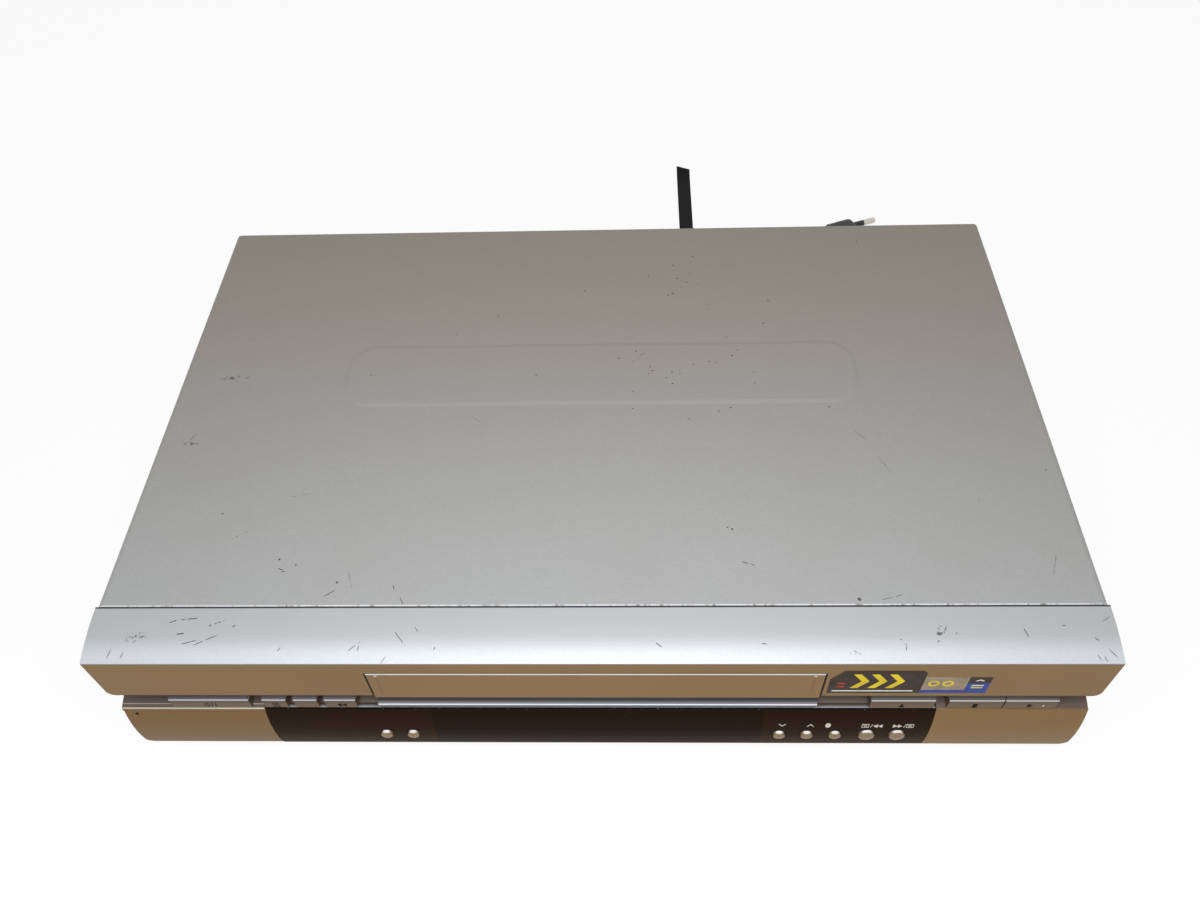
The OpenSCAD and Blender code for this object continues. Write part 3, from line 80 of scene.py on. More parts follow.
def linear(red, green, blue):
    """A colour given as screen values from 0 to 255, as the shader takes it."""
    def channel(value):
        share = value / 255
        return share / 12.92 if share <= 0.04045 else ((share + 0.055) / 1.055) ** 2.4
    return channel(red), channel(green), channel(blue)


def shade(colour, share):
    """A colour made lighter or darker."""
    return [min(c * share, 1) for c in colour]


def rgba(colour):
    """The same colour with full alpha, for a colour socket."""
    return (*colour[:3], 1.0)


class Value:
    """A shader socket in arithmetic: each operator adds one Math node."""

    def __init__(self, shader, socket):
        self.shader = shader
        self.socket = socket

    def math(self, operation, *values):
        return self.shader.node("ShaderNodeMath", {"operation": operation}, dict(enumerate(values)))

    def __add__(self, other):
        return self.math("ADD", self, other)

    def __radd__(self, other):
        return self.math("ADD", other, self)

    def __sub__(self, other):
        return self.math("SUBTRACT", self, other)

    def __rsub__(self, other):
        return self.math("SUBTRACT", other, self)

    def __mul__(self, other):
        return self.math("MULTIPLY", self, other)

    def __rmul__(self, other):
        return self.math("MULTIPLY", other, self)

    def __abs__(self):
        return self.math("ABSOLUTE", self)

    def either(self, other):
        """The larger of two values."""
        return self.math("MAXIMUM", self, other)

    def rise(self, low, high):
        """0 below low, 1 above high, smooth between."""
        return self.shader.node("ShaderNodeMapRange", {"interpolation_type": "SMOOTHSTEP"},
                                {"Value": self, "From Min": low, "From Max": high})

    def band(self, low, high, soft):
        """1 between low and high, fading to 0 over soft outside them."""
        return self.rise(low - soft, low) * (1 - self.rise(high, high + soft))

    def part(self, name):
        """Another output of the same node."""
        return Value(self.shader, self.socket.node.outputs[name])


class Shader:
    """A node tree whose nodes all come from one method."""

    def __init__(self, tree):
        self.tree = tree
        tree.nodes.clear()

    def node(self, kind, settings=None, inputs=None, output=0):
        """Adds a node: its settings first, then the values or links of its sockets."""
        node = self.tree.nodes.new(kind)
        for name, value in (settings or {}).items():
            setattr(node, name, value)
        for key, value in (inputs or {}).items():
            if isinstance(value, Value):
                self.tree.links.new(value.socket, node.inputs[key])
            else:
                node.inputs[key].default_value = value
        return Value(self, node.outputs[output]) if node.outputs else None

    def mix(self, factor, low, high):
        """Colour low where factor is 0 and high where it is 1; each is a colour or a socket."""
        ends = [c if isinstance(c, Value) else rgba(c) for c in (low, high)]
        return self.node("ShaderNodeMix", {"data_type": "RGBA"}, {0: factor, 6: ends[0], 7: ends[1]}, 2)


class Finish(Shader):
    """A material for one finish, with the point in millimetres and the usual textures at hand."""

    def __init__(self, name):
        self.material = bpy.data.materials.new(name)
        self.material.use_nodes = True
        super().__init__(self.material.node_tree)
        self.point = self.node("ShaderNodeTexCoord", output="Object")
        split = self.node("ShaderNodeSeparateXYZ", inputs={0: self.point})
        self.x, self.y, self.z = (split.part(axis) * 1000 for axis in "XYZ")

    def stretched(self, sx, sy, sz):
        """The point with each axis scaled, for streaks."""
        return self.node("ShaderNodeVectorMath", {"operation": "MULTIPLY"}, {0: self.point, 1: (sx, sy, sz)})

    def noise(self, scale, detail=2.0, roughness=0.5, vector=None):
        return self.node("ShaderNodeTexNoise", inputs={"Vector": vector or self.point, "Scale": scale,
                                                       "Detail": detail, "Roughness": roughness})

    def cells(self, scale):
        return self.node("ShaderNodeTexVoronoi", inputs={"Vector": self.point, "Scale": scale})

    def bump(self, height, distance):
        """A normal from a height between 0 and 1, with distance in millimetres."""
        return self.node("ShaderNodeBump",
                         inputs={"Height": height, "Distance": distance * MM, "Strength": 1.0})

    def surface(self, **sockets):
        """Ends the tree in one shader; names are the sockets' own, with _ for a space."""
        inputs = {}
        for name, value in sockets.items():
            plain = name == "Base_Color" and not isinstance(value, Value)
            inputs[name.replace("_", " ")] = rgba(value) if plain else value
        shader = self.node("ShaderNodeBsdfPrincipled", inputs=inputs)
        self.node("ShaderNodeOutputMaterial", inputs={"Surface": shader})
        return self.material

    def marks(self, places):
        """A mask of scratches and specks, each given as x, y, angle, half length and half width."""
        total = None
        for x, y, angle, long, wide in places:
            c, s = math.cos(math.radians(angle)), math.sin(math.radians(angle))
            along = abs((self.x - x) * c + (self.y - y) * s)
            across = abs((self.y - y) * c - (self.x - x) * s)
            mark = (1 - along.rise(long * 0.6, long)) * (1 - across.rise(wide * 0.4, wide))
            total = mark if total is None else total.either(mark)
        return total


class Lacquer(Finish):
    """Champagne lacquer of the front: metal flake over slow changes of tone."""

    def __init__(self, name):
        super().__init__(name)
        self.flake = self.noise(2600, 2, 0.7)
        self.grain = self.noise(600, 3, 0.6)

    def champagne(self, patches, light, dark):
        """The front's colour, in part a painted reflection of a brown floor, clouded between two shades, with
        flakes in it.
        """
        front = bpy.context.scene.recorder_finishes.front
        cloud = self.noise(14, 3).rise(0.4, 0.7)
        face = self.mix(cloud * patches, shade(front, light), shade(front, dark))
        return self.mix(self.flake.rise(0.5, 0.75) * 0.3, face, shade(front, 1.5))

    def coat(self, tone, roughness, relief, depth):
        """Ends the tree as a lacquer of this tone; relief is the grain's height."""
        return self.surface(Base_Color=tone, Metallic=0.3, Roughness=roughness, Specular_IOR_Level=0.12,
                            Normal=self.bump(relief, depth))


def ink(name, scale, low, tone, worn, roughness, shine):
    """Printing ink, worn in patches where the noise is above low."""
    finish = Finish(name)
    wear = finish.noise(scale, 3)
    return finish.surface(Base_Color=finish.mix(wear.rise(low, 0.8) * 0.4, tone, worn),
                          Roughness=roughness + wear * 0.2, Specular_IOR_Level=shine)


def dress(material, *nodes):
    """Gives CAD nodes a finish through their own material slots."""
    for node in nodes:
        for slot in NODES[node].material_slots:
            slot.material = material


def to_mesh(name, bm):
    """Turns a worked mesh into mesh data with its faces pointing out."""
    bmesh.ops.recalc_face_normals(bm, faces=bm.faces)
    mesh = bpy.data.meshes.new(name)
    bm.to_mesh(mesh)
    bm.free()
    return mesh


def piece(name, shape, body, slot, *materials, sharp=35):
    """A new object of the dress, from a worked mesh or a curve, that rides on a body and takes the finishes
    it is given; slot is not used."""
    worked = isinstance(shape, bmesh.types.BMesh)
    data = to_mesh(name, shape) if worked else shape
    obj = bpy.data.objects.new(name, data)
    bpy.context.scene.collection.objects.link(obj)
    for material in materials:
        data.materials.append(material)
    if worked:
        data.shade_smooth()
        data.set_sharp_from_angle(angle=math.radians(sharp))
    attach(obj, body)
    return obj


def skin(bm, rings, index=0):
    """Joins rings of points in millimetres by quads and closes both ends."""
    rows = [[bm.verts.new([c * MM for c in p]) for p in ring] for ring in rings]
    count = len(rows[0])
    for low, high in zip(rows, rows[1:]):
        for k in range(count):
            after = (k + 1) % count
            bm.faces.new((low[k], low[after], high[after], high[k])).material_index = index
    for row in (rows[0], rows[-1]):
        bm.faces.new(row).material_index = index


def plate(bm, outline, place, low, high, index=0):
    """A flat prism: outline in the plane, place turns (u, v, height) into a point in millimetres."""
    skin(bm, [[place(u, v, h) for u, v in outline] for h in (low, high)], index)


def printed(name, outlines, place, low, high, body, slot, material):
    """A piece of flat prints on one surface."""
    bm = bmesh.new()
    for outline in outlines:
        plate(bm, outline, place, low, high)
    return piece(name, bm, body, slot, material)


def turned(bm, profile, centre, axis, segments, index=0):
    """A turned solid: profile of (radius, distance along the axis), from one end to the other."""
    axis = Vector(axis).normalized()
    side = axis.orthogonal().normalized()
    up = axis.cross(side)
    angles = [math.tau * k / segments for k in range(segments)]
    skin(bm, [[Vector(centre) + axis * d + r * (math.cos(a) * side + math.sin(a) * up) for a in angles]
              for r, d in profile], index)


def spot(radius, degrees, u=0.0, v=0.0):
    """A point on a circle round (u, v)."""
    turn = math.radians(degrees)
    return u + radius * math.cos(turn), v + radius * math.sin(turn)


def disc(radius, u=0.0, v=0.0, count=24):
    """The outline of a circle."""
    return [spot(radius, 360 * k / count, u, v) for k in range(count)]


def box(u0, v0, u1, v1):
    """The outline of a rectangle."""
    return [(u0, v0), (u1, v0), (u1, v1), (u0, v1)]


def arc_band(inner, outer, start, end, u=0.0, v=0.0, count=16):
    """The outline of a ring's stretch between two angles in degrees."""
    turns = [start + (end - start) * k / count for k in range(count + 1)]
    return [spot(outer, t, u, v) for t in turns] + [spot(inner, t, u, v) for t in reversed(turns)]


def rounded(u0, v0, u1, v1, r, gap=0.0):
    """The outline of a rounded rectangle, open by gap in the middle of its top edge."""
    middle = (u0 + u1) / 2
    left, right, low, high = u0 + r, u1 - r, v0 + r, v1 - r
    points = []
    for u, v, start in ((left, high, 90), (left, low, 180), (right, low, 270), (right, high, 360)):
        points += [spot(r, start + 18 * k, u, v) for k in range(6)]
    return [(middle - gap / 2, v1), *points, (middle + gap / 2, v1)] if gap else points


def on_upper_face(u, v, h):
    """A point in front of the flat upper face: u along x, v along z."""
    return u, Y_CREASE - h, v


def on_lower_face(u, v, h):
    """A point in front of the bulged lower face: u along x, v up along the face from its bottom edge."""
    depth = BELLY_R - BELLY - math.sqrt(BELLY_R ** 2 - (v - FACE_L / 2) ** 2) - h
    return (u, Y_LOW + depth * math.cos(LEAN) + v * math.sin(LEAN),
            Z_BASE + v * math.cos(LEAN) - depth * math.sin(LEAN))


def centre_x(node):
    low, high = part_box(node)
    return (low.x + high.x) / 2 / MM


def colour(name, description, *screen):
    """A colour that a user may change, its default given as screen values."""
    return bpy.props.FloatVectorProperty(name=name, description=description, subtype="COLOR",
                                         default=linear(*screen))


class RecorderFinishes(bpy.types.PropertyGroup):
    """Colours of the finishes that show."""

    cover: colour("Cover", "Painted steel cover", 152, 154, 155)
    # Painted shade: the cover's colour towards the rear, darker and warmer where it takes less light
    aged: colour("Aged cover", "Cover where warmth and dust have dulled it, towards the rear", 134, 128, 117)
    # Painted reflection: the strip is the front's lacquer painted silver for the light it reflects, brightest
    # at the crease as a painted highlight
    strip: colour("Strip", "Silver strip in front of the cover", 172, 177, 181)
    strip_rear: colour("Strip at the seam", "Silver strip next to the cover", 163, 165, 166)
    # Painted reflection: the champagne darkened and warmed to the tan of a brown floor that the front
    # reflects
    front: colour("Front", "Champagne lacquer of the front", 125, 97, 60)
    # Painted shade: the grey of the groove stands for the shade under the upper face
    groove: colour("Groove", "Grey of the groove behind the bars", 92, 79, 74)
    # Painted reflection: the window's brown stands for a brown floor that it reflects
    window: colour("Window", "Smoked window", 41, 27, 16)
    bars: colour("Bars", "Faces of the bar buttons", 104, 83, 64)
    # Painted highlight on the bars' upper edge
    bars_edge: colour("Bars' edge", "Bright upper edge of the bar buttons", 186, 190, 193)
    lip: colour("Lip", "Rounded lip of the cassette door", 126, 127, 133)


class RecorderSigns(bpy.types.PropertyGroup):
    """Printed signs and the sticker."""

    ink: bpy.props.FloatProperty(
        name="Ink", description="Height of a printed sign in millimetres", default=0.04)
    film: bpy.props.FloatProperty(
        name="Film", description="Thickness of the sticker's film in millimetres", default=0.08)
    dark: colour("Dark ink", "Signs on the bars", 26, 22, 20)
    pale: colour("Pale ink", "Signs on the window", 190, 182, 168)


class RecorderLead(bpy.types.PropertyGroup):
    """Mains lead."""

    diameter: bpy.props.FloatProperty(
        name="Diameter", description="Over the sheath", default=0.0054, unit="LENGTH", precision=4)
    length: bpy.props.FloatProperty(
        name="Length", description="From the strain relief to the plug", default=1.602, unit="LENGTH",
        precision=3)
    sheath: colour("Sheath", "Black sheath, plug and tie", 24, 23, 24)


class RecorderStage(bpy.types.PropertyGroup):
    """Camera, floor and light."""

    lens: bpy.props.FloatProperty(
        name="Lens", description="Focal length on a 36 mm wide sensor, in millimetres", default=30.0)
    camera: bpy.props.FloatVectorProperty(
        name="Camera", description="Where the camera stands", subtype="TRANSLATION", unit="LENGTH",
        default=(0.0187, -0.3294, 0.4587))
    overhead: bpy.props.FloatProperty(
        name="Overhead light", description="Power of the light above the front", default=2.8, unit="POWER")
    rear: bpy.props.FloatProperty(
        name="Rear light", description="Power of the light above and behind", default=1.0, unit="POWER")
    fill: bpy.props.FloatProperty(
        name="Front light", description="Power of the light in front", default=6.0, unit="POWER")
    sky: bpy.props.FloatProperty(
        name="Sky", description="Strength of the even light from all sides", default=0.32)


class RECORDER_OT_stage(bpy.types.Operator):
    """Camera at the photograph's angle, pale floor, soft light from above and in front"""

    bl_idname = "recorder.stage"
    bl_label = "Stage"

    RIGHT = Vector((0.9993, 0.0167, -0.0334))
    DOWN = Vector((-0.0080, -0.7782, -0.6280))
    FORWARD = Vector((-0.0365, 0.6278, -0.7775))
    WHITE = (1, 1, 1, 1)
    FLOOR_HALF = 6
    FLOOR_GLOW = 0.92

    def lamp(self, name, place, target, size, power):
        data = bpy.data.lights.new(name, "AREA")
        data.shape = "RECTANGLE"
        data.size, data.size_y = size
        data.energy = power
        obj = bpy.data.objects.new(name, data)
        obj.location = place
        obj.rotation_euler = (Vector(target) - Vector(place)).to_track_quat("-Z", "Y").to_euler()
        bpy.context.scene.collection.objects.link(obj)

    def seen(self, shader):
        """1 for rays whose background shows: straight, mirrored or through glass."""
        path = shader.node("ShaderNodeLightPath", output="Is Camera Ray")
        return path.either(path.part("Is Glossy Ray")).either(path.part("Is Transmission Ray"))

    def execute(self, context):
        stage = context.scene.recorder_stage
        camera = bpy.data.objects.new("camera", bpy.data.cameras.new("camera"))
        camera.data.lens = stage.lens
        camera.data.sensor_width = 36
        camera.data.clip_start = 0.01
        turn = Matrix((self.RIGHT, -self.DOWN, -self.FORWARD)).transposed()
        camera.matrix_world = Matrix.Translation(stage.camera) @ turn.to_quaternion().to_matrix().to_4x4()
        context.scene.collection.objects.link(camera)
        context.scene.camera = camera
        context.scene.view_settings.view_transform = "Standard"

        world = bpy.data.worlds.new("studio")
        world.use_nodes = True
        context.scene.world = world
        sky = Shader(world.node_tree)
        light = sky.node("ShaderNodeBackground", inputs={"Color": self.WHITE, "Strength": stage.sky})
        white = sky.node("ShaderNodeBackground", inputs={"Color": self.WHITE, "Strength": 1.0})
        both = sky.node("ShaderNodeMixShader", inputs={0: self.seen(sky), 1: light, 2: white})
        sky.node("ShaderNodeOutputWorld", inputs={"Surface": both})

        bm = bmesh.new()
        half = self.FLOOR_HALF
        bm.faces.new([bm.verts.new((x, y, 0)) for x, y in box(-half, -half, half, half)])
        floor = bpy.data.objects.new("floor", to_mesh("floor", bm))
        context.scene.collection.objects.link(floor)
        pale = Finish("pale_floor")
        lit = pale.node("ShaderNodeBsdfDiffuse", inputs={"Color": (0.9, 0.9, 0.9, 1)})
        glow = pale.node("ShaderNodeEmission", inputs={"Color": self.WHITE, "Strength": 1.0})
        share = self.seen(pale) * self.FLOOR_GLOW
        mixed = pale.node("ShaderNodeMixShader", inputs={0: share, 1: lit, 2: glow})
        pale.node("ShaderNodeOutputMaterial", inputs={"Surface": mixed})
        floor.data.materials.append(pale.material)

        self.lamp("overhead_light", (0, -0.3, 0.52), (0, -0.2, 0), (0.42, 0.2), stage.overhead)
        self.lamp("rear_light", (0, 0.5, 1.15), (0, -0.1, 0.08), (0.7, 0.35), stage.rear)
        self.lamp("front_light", (0, -1.6, 0.9), (0, -0.14, 0.05), (1.6, 0.8), stage.fill)
        return {"FINISHED"}


class RECORDER_OT_mains_lead(bpy.types.Operator):
    """Mains lead with its ribbed relief, coil, plug and tie strap, where their solids lie"""

    bl_idname = "recorder.mains_lead"
    bl_label = "Mains lead"

    EXIT = (13, 154, 19)
    COIL_AT = (57, 184)
    COIL_R, COIL_STEP, TURN_MID, TURN_ALL = 44, 6, 3.75, 7.375
    CLIMB_FROM, CLIMB_OVER = 3.5, 0.5
    LEAD_R, LAYER = 2.7, 6
    PLUG_AT = Vector((140, 215, 6.5))
    PLUG_TURN = math.radians(20)
    PLUG_DIR = Vector((math.cos(PLUG_TURN), math.sin(PLUG_TURN), 0))
    PIN_SLEEVE = (44.8, 45)
    OUT = [EXIT, (13, 155, 19), (13, 158, 18.4), (13, 161, 16.8), (13, 164, 14.4), (13, 167, 11.3),
           (13, 170, 8), (13, 172.5, 5.4), (13, 175, 3.5), (13, 177.4, 2.7)]
    IN = [(95.5, 206.8, 8.4), (98.5, 204.4, 7.8), (102.5, 202.5, 6.7), (106.5, 201.8, 5.3), (111, 202.3, 4),
          (115.5, 203.7, 3.2), (120, 205.8, 3), (124.5, 208.2, 3.5), (129, 210.6, 4.5), (133.5, 212.6, 5.7)]

    # Relief: radius and y of its flanges, then of its tip; the ribs come between
    FLANGES = [(0.5, 127.8), (6.8, 127.8), (6.8, 130.8), (5.15, 130.8), (5.15, 132.05), (6.4, 132.05),
               (6.8, 132.4), (6.8, 133.3), (6.4, 133.7), (5.2, 134)]
    TIP = [(3.5, 153), (3.3, 153.8), (2.75, 154)]

    # Plug: distance, half width, half height and squareness of each section; two kinds make the grip
    NECK = [(0, 3.6, 3.6, 2), (0.8, 4.1, 4.1, 2), (5, 4.7, 4.8, 2.2), (10, 5.4, 5.5, 2.4), (12, 8, 6.0, 2.8),
            (14.5, 11.4, 6.3, 3.4)]
    WIDE, WAIST = (12.9, 6.45, 4), (12.5, 6.1, 4)
    BODY = [(18, *WIDE), (19, *WAIST), (20, *WIDE), (21, *WAIST), (22, *WIDE), (23, *WAIST), (24, *WIDE),
            (33, *WIDE), (34.4, *WAIST), (35, 11.8, 5.4, 4)]

    # Strap: y and z of its path, and its section
    STRAP_X, STRAP_HALF, STRAP_THICK = 55.5, 4.8, 0.55
    STRAP = [(205, 0.7), (204.4, 2), (204, 6), (204, 10), (204.4, 11.9), (205.4, 12.5), (208, 12.5),
             (222, 12.4), (227.5, 12.2), (229.6, 11.2), (230.2, 9), (230.3, 4), (230.8, 2.2), (232, 1.1),
             (234, 0.75), (240, 0.65), (262, 0.65), (285, 0.75), (298, 1.0), (305, 1.7), (309.5, 2.7),
             (312.6, 3.9)]
    STRAP_EDGE = [(-1, -0.6), (-0.94, -1), (0.94, -1), (1, -0.6), (1, 0.6), (0.94, 1), (0, 0.86), (-0.94, 1),
                  (-1, 0.6)]
    STRAP_SLANT = {len(STRAP) - 1: 0.32, len(STRAP) - 2: 0.12}

    def coil(self):
        """Inwards on the floor, up a layer in half a turn, outwards on top."""
        steps = round(self.TURN_ALL * 48)
        points = []
        for k in range(steps + 1):
            t = self.TURN_ALL * k / steps
            r = self.COIL_R - self.COIL_STEP * (self.TURN_MID - abs(t - self.TURN_MID))
            climb = min(max((t - self.CLIMB_FROM) / self.CLIMB_OVER, 0), 1)
            a = math.pi - math.tau * t
            points.append((self.COIL_AT[0] + r * math.cos(a), self.COIL_AT[1] + r * math.sin(a),
                           self.LEAD_R + self.LAYER * climb * climb * (3 - 2 * climb)))
        end = Vector(points[-1])
        a = math.pi - math.tau * self.TURN_ALL
        leave = Vector((math.sin(a), -math.cos(a), 0))
        return points + [end + leave * 5.4, end + leave * 7.4]

    def lead(self, sheath):
        route = self.OUT + self.coil() + self.IN + [self.PLUG_AT - 2 * self.PLUG_DIR, self.PLUG_AT]
        data = bpy.data.curves.new("mains_cord", "CURVE")
        data.dimensions = "3D"
        data.bevel_depth = bpy.context.scene.recorder_lead.diameter / 2
        data.bevel_resolution = 5
        spline = data.splines.new("POLY")
        spline.points.add(len(route) - 1)
        for point, place in zip(spline.points, route):
            point.co = (*(c * MM for c in place), 1)
        spline.use_smooth = True
        cord = piece("mains_cord", data, "case", "lead_sheath", sheath)
        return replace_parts(cord, "mains_lead", "cord_coil")

    def relief(self, sheath):
        """Tapered boot with ribs round it, and its flanges on both sides of the panel."""
        bm = bmesh.new()
        profile = list(self.FLANGES)
        for k in range(7):
            d = 135.4 + 2.5 * k
            r = 5.1 - 0.24 * k
            profile += [(r, d), (r, d + 1.2), (r - 0.75, d + 1.35), (r - 0.75, d + 2.3)]
        turned(bm, profile + self.TIP, (self.EXIT[0], 0, self.EXIT[2]), (0, 1, 0), 32)
        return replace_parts(piece("lead_relief", bm, "case", "lead_sheath", sheath), "strain_relief")

    def plug(self, sheath):
        """Slim two-pin plug: a round neck that widens to a rounded flat body with grip ribs."""
        side = Vector((-self.PLUG_DIR.y, self.PLUG_DIR.x, 0))
        rings = []
        for s, wide, high, power in self.NECK + self.BODY:
            ring = []
            for c, n in disc(1, count=48):
                u = wide * math.copysign(abs(c) ** (2 / power), c)
                v = high * math.copysign(abs(n) ** (2 / power), n)
                ring.append(self.PLUG_AT + self.PLUG_DIR * s + side * u + Vector((0, 0, v)))
            rings.append(ring)
        bm = bmesh.new()
        skin(bm, rings)
        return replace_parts(piece("lead_plug", bm, "case", "lead_sheath", sheath, sharp=50), "mains_plug")

    def strap(self, material):
        """Flat strap over the coil, with a long tail on the floor and a slanted, slightly lifted end."""
        path, half = self.STRAP, self.STRAP_HALF
        rings = []
        for k, (y, z) in enumerate(path):
            before, after = path[max(k - 1, 0)], path[min(k + 1, len(path) - 1)]
            along = Vector((0, after[0] - before[0], after[1] - before[1])).normalized()
            up = Vector((1, 0, 0)).cross(along)
            slant = self.STRAP_SLANT.get(k, 0)
            rings.append([Vector((self.STRAP_X + half * u, y, z)) + up * self.STRAP_THICK * v
                          - along * slant * half * (u + 1) for u, v in self.STRAP_EDGE])
        bm = bmesh.new()
        skin(bm, rings)
        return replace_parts(piece("lead_tie", bm, "case", "tie_strap", material), "cord_tie")

    def execute(self, context):
        lead = context.scene.recorder_lead
        black = Finish("black_sheath")
        grain = black.noise(900, 3)
        scuff = black.noise(60, 4).rise(0.55, 0.8)
        sheath = black.surface(Base_Color=black.mix(scuff * 0.5, lead.sheath, linear(52, 50, 50)),
                               Roughness=0.42 + grain * 0.16, Normal=black.bump(grain, 0.05))
        glossy = Finish("glossy_strap")
        ribs = glossy.noise(1200, 2, vector=glossy.stretched(6, 0.4, 1))
        strap = glossy.surface(Base_Color=glossy.mix(ribs * 0.6, linear(15, 14, 15), linear(28, 27, 29)),
                               Roughness=0.3 + ribs * 0.2, Specular_IOR_Level=0.08,
                               Normal=glossy.bump(ribs, 0.06))
        metal = Finish("nickel_pins")
        reach = (metal.x - self.PLUG_AT.x) * self.PLUG_DIR.x + (metal.y - self.PLUG_AT.y) * self.PLUG_DIR.y
        bare = reach.rise(*self.PIN_SLEEVE)
        streak = metal.noise(700, 3, vector=metal.stretched(1, 1, 8))
        nickel = metal.mix(streak, linear(176, 170, 160), linear(214, 210, 202))
        pins = metal.surface(Base_Color=metal.mix(bare, linear(26, 25, 26), nickel), Metallic=bare,
                             Roughness=0.3 + streak * 0.15)
        dress(pins, "plug_pins")
        self.relief(sheath)
        cord = self.lead(sheath)
        plug = self.plug(sheath)
        tie = self.strap(strap)
        return {"FINISHED"}


class RECORDER_OT_cover(bpy.types.Operator):
    """Painted steel cover with fine grain, specks and scratches, painted shade towards the rear, and a
    painted highlight along its front edge broken by chipped wear
    """

    bl_idname = "recorder.cover"
    bl_label = "Cover"

    # Middle, half sizes and height of the pressed panel
    PRESSING = (0, 20, 128, 19, 88.45)
    STRIP_R = ((Y_SEAM - Y_CREASE) ** 2 + (Z_TOP - Z_CREASE) ** 2) / (2 * (Z_TOP - Z_CREASE))
    # Where the painted shade towards the rear runs: along y, and up z to the top
    AGED_Y, AGED_Z = (Y_SEAM - 60, 150), (50, Z_TOP)

    # Spots by x, y and radius; all other marks by x, y, angle, half length and half width
    CHIPS = [(-76, 49, 0.35), (-55, 63, 0.45), (19, 35, 0.55), (23, 33, 0.4), (10, 30, 0.5), (17, 28, 0.35),
             (26, 24, 0.45), (27, 21, 0.55), (25, 19, 0.4), (37, 20, 0.5), (41, 19, 0.35), (34, 16, 0.45),
             (37, 12, 0.55), (48, 25, 0.4), (56, 27, 0.5), (60, 26, 0.35), (66, 45, 0.45), (68, 31, 0.55),
             (71, 35, 0.4), (86, 55, 0.5), (78, 19, 0.35), (78, 12, 0.45), (65, -4, 0.55), (44, -11, 0.4),
             (59, -6, 0.5), (17, 7, 0.35), (17, -4, 0.45), (113, -4, 0.55), (-117, 20, 0.4), (-32, 19, 0.5),
             (58, 70, 0.35), (39, 79, 0.65), (42, 91, 0.55), (49, 95, 0.4), (51, 109, 0.6), (26, 93, 0.45),
             (-9, 82, 0.45), (40, 102, 0.55), (47, 88, 0.5), (90, 72, 0.5), (144, 120, 0.45),
             (-172, -66, 0.5), (112, -112, 0.9), (-112, -103, 0.6), (-140, -91, 0.6), (-132, -94, 0.45),
             (59, -75, 0.45), (61, -76, 0.55), (207, -44, 0.4), (36.5, 77.5, 0.5), (44, 84, 0.4),
             (53, 86, 0.35)]
    SCRATCHES = [(-199.6, -21.7, 60, 5, 0.35), (-161, -77.9, 35, 5, 0.3), (125.3, -22.1, -50, 4, 0.35),
                 (134.2, -40.4, -65, 6, 0.3), (197.5, -95.4, 70, 6, 0.35), (-106.5, -101.8, -70, 5, 0.3),
                 (-136.7, -55.6, 10, 6, 0.25), (20, 30, 60, 7, 0.25), (-60, -10, -40, 5, 0.25)]
    SMUDGES = [(-190.2, 19.5, 10, 5, 2.2), (-183.5, 20.1, -20, 4, 1.4), (-199, -24, 0, 5, 1.4),
               (-186, 18, 50, 2.5, 0.7)]
    FLAKES = [(-138.2, -96.2, -25, 1.6, 0.3), (-136.8, -97.3, 10, 1.2, 0.25),
              (-113.6, -107.8, 35, 2.2, 0.25), (-115.4, -109.2, 20, 1.4, 0.2),
              (-86.7, -105.7, -70, 1.5, 0.25), (-82.4, -112.3, -65, 2.4, 0.2), (65.5, -93.6, -20, 1.8, 0.3),
              (68.8, -94.7, -35, 1.3, 0.25), (124, -111.6, 15, 3, 0.16), (129, -110.2, 20, 2, 0.16),
              (-152.4, -124, 20, 0.7, 0.35), (-131.4, -134.1, 60, 1.2, 0.2), (-98, -133.7, 80, 1.4, 0.2),
              (-66, -133.7, 70, 1.0, 0.22), (-87, -138.4, 55, 2, 0.16), (-74.2, -125.8, -55, 1.8, 0.16),
              (70.6, -131.9, -8, 1.3, 0.22), (193.7, -124.3, 0, 0.7, 0.3), (205.7, -130.2, -40, 1.0, 0.3),
              (211, -136, -50, 2.6, 0.2), (207.6, -138.2, -70, 1.2, 0.22), (211.6, -121.4, 30, 2.2, 0.16),
              (205.2, -137.6, -60, 1.4, 0.18), (-203.4, -135.8, 75, 2.2, 0.18),
              (-197.8, -136.6, 70, 1.6, 0.18), (143.6, -124.6, -45, 0.6, 0.2),
              (142.6, -125.6, -50, 0.7, 0.2), (144.5, -127.2, 80, 0.5, 0.22),
              (149.5, -127.6, 60, 0.5, 0.22), (126.5, -130.2, 0, 0.5, 0.2), (128.3, -132.2, 50, 0.5, 0.18)]
    SLIVER = [(-1, 0), (-0.6, -0.7), (-0.1, -1), (0.5, -0.6), (1, 0), (0.4, 0.8), (-0.2, 0.5), (-0.7, 0.6)]

    def on_top(self, x, y, h):
        """A point above the lid or the strip's curve."""
        over = min(y - Y_SEAM, 0)
        return x, y, Z_TOP - self.STRIP_R + math.sqrt(self.STRIP_R ** 2 - over ** 2) + h

    def chips(self):
        """Small spots and scratches where the paint is gone, each a thin flake of its own outline."""
        bare = Finish("bare_spots")
        rust = bare.noise(1500, 2)
        material = bare.surface(Base_Color=bare.mix(rust, linear(52, 46, 40), linear(74, 66, 58)),
                                Roughness=0.6 + rust * 0.2)
        bm = bmesh.new()
        x0, y0, half_x, half_y, high = self.PRESSING
        for k, (x, y, r) in enumerate(self.CHIPS):
            base = high if abs(x - x0) < half_x and abs(y - y0) < half_y else Z_TOP
            outline = [spot(r * (0.75 + 0.25 * ((3 * i + k) % 4) / 3), 40 * i, x, y) for i in range(9)]
            plate(bm, outline, lambda u, v, h, base=base: (u, v, base + h), -0.02, 0.02)
        for x, y, angle, long, wide in self.FLAKES:
            c, n = math.cos(math.radians(angle)), math.sin(math.radians(angle))
            outline = [(x + long * u * c - wide * v * n, y + long * u * n + wide * v * c)
                       for u, v in self.SLIVER]
            plate(bm, outline, self.on_top, -0.02, 0.015)
        piece("paint_chips", bm, "case", "cover_paint", material)

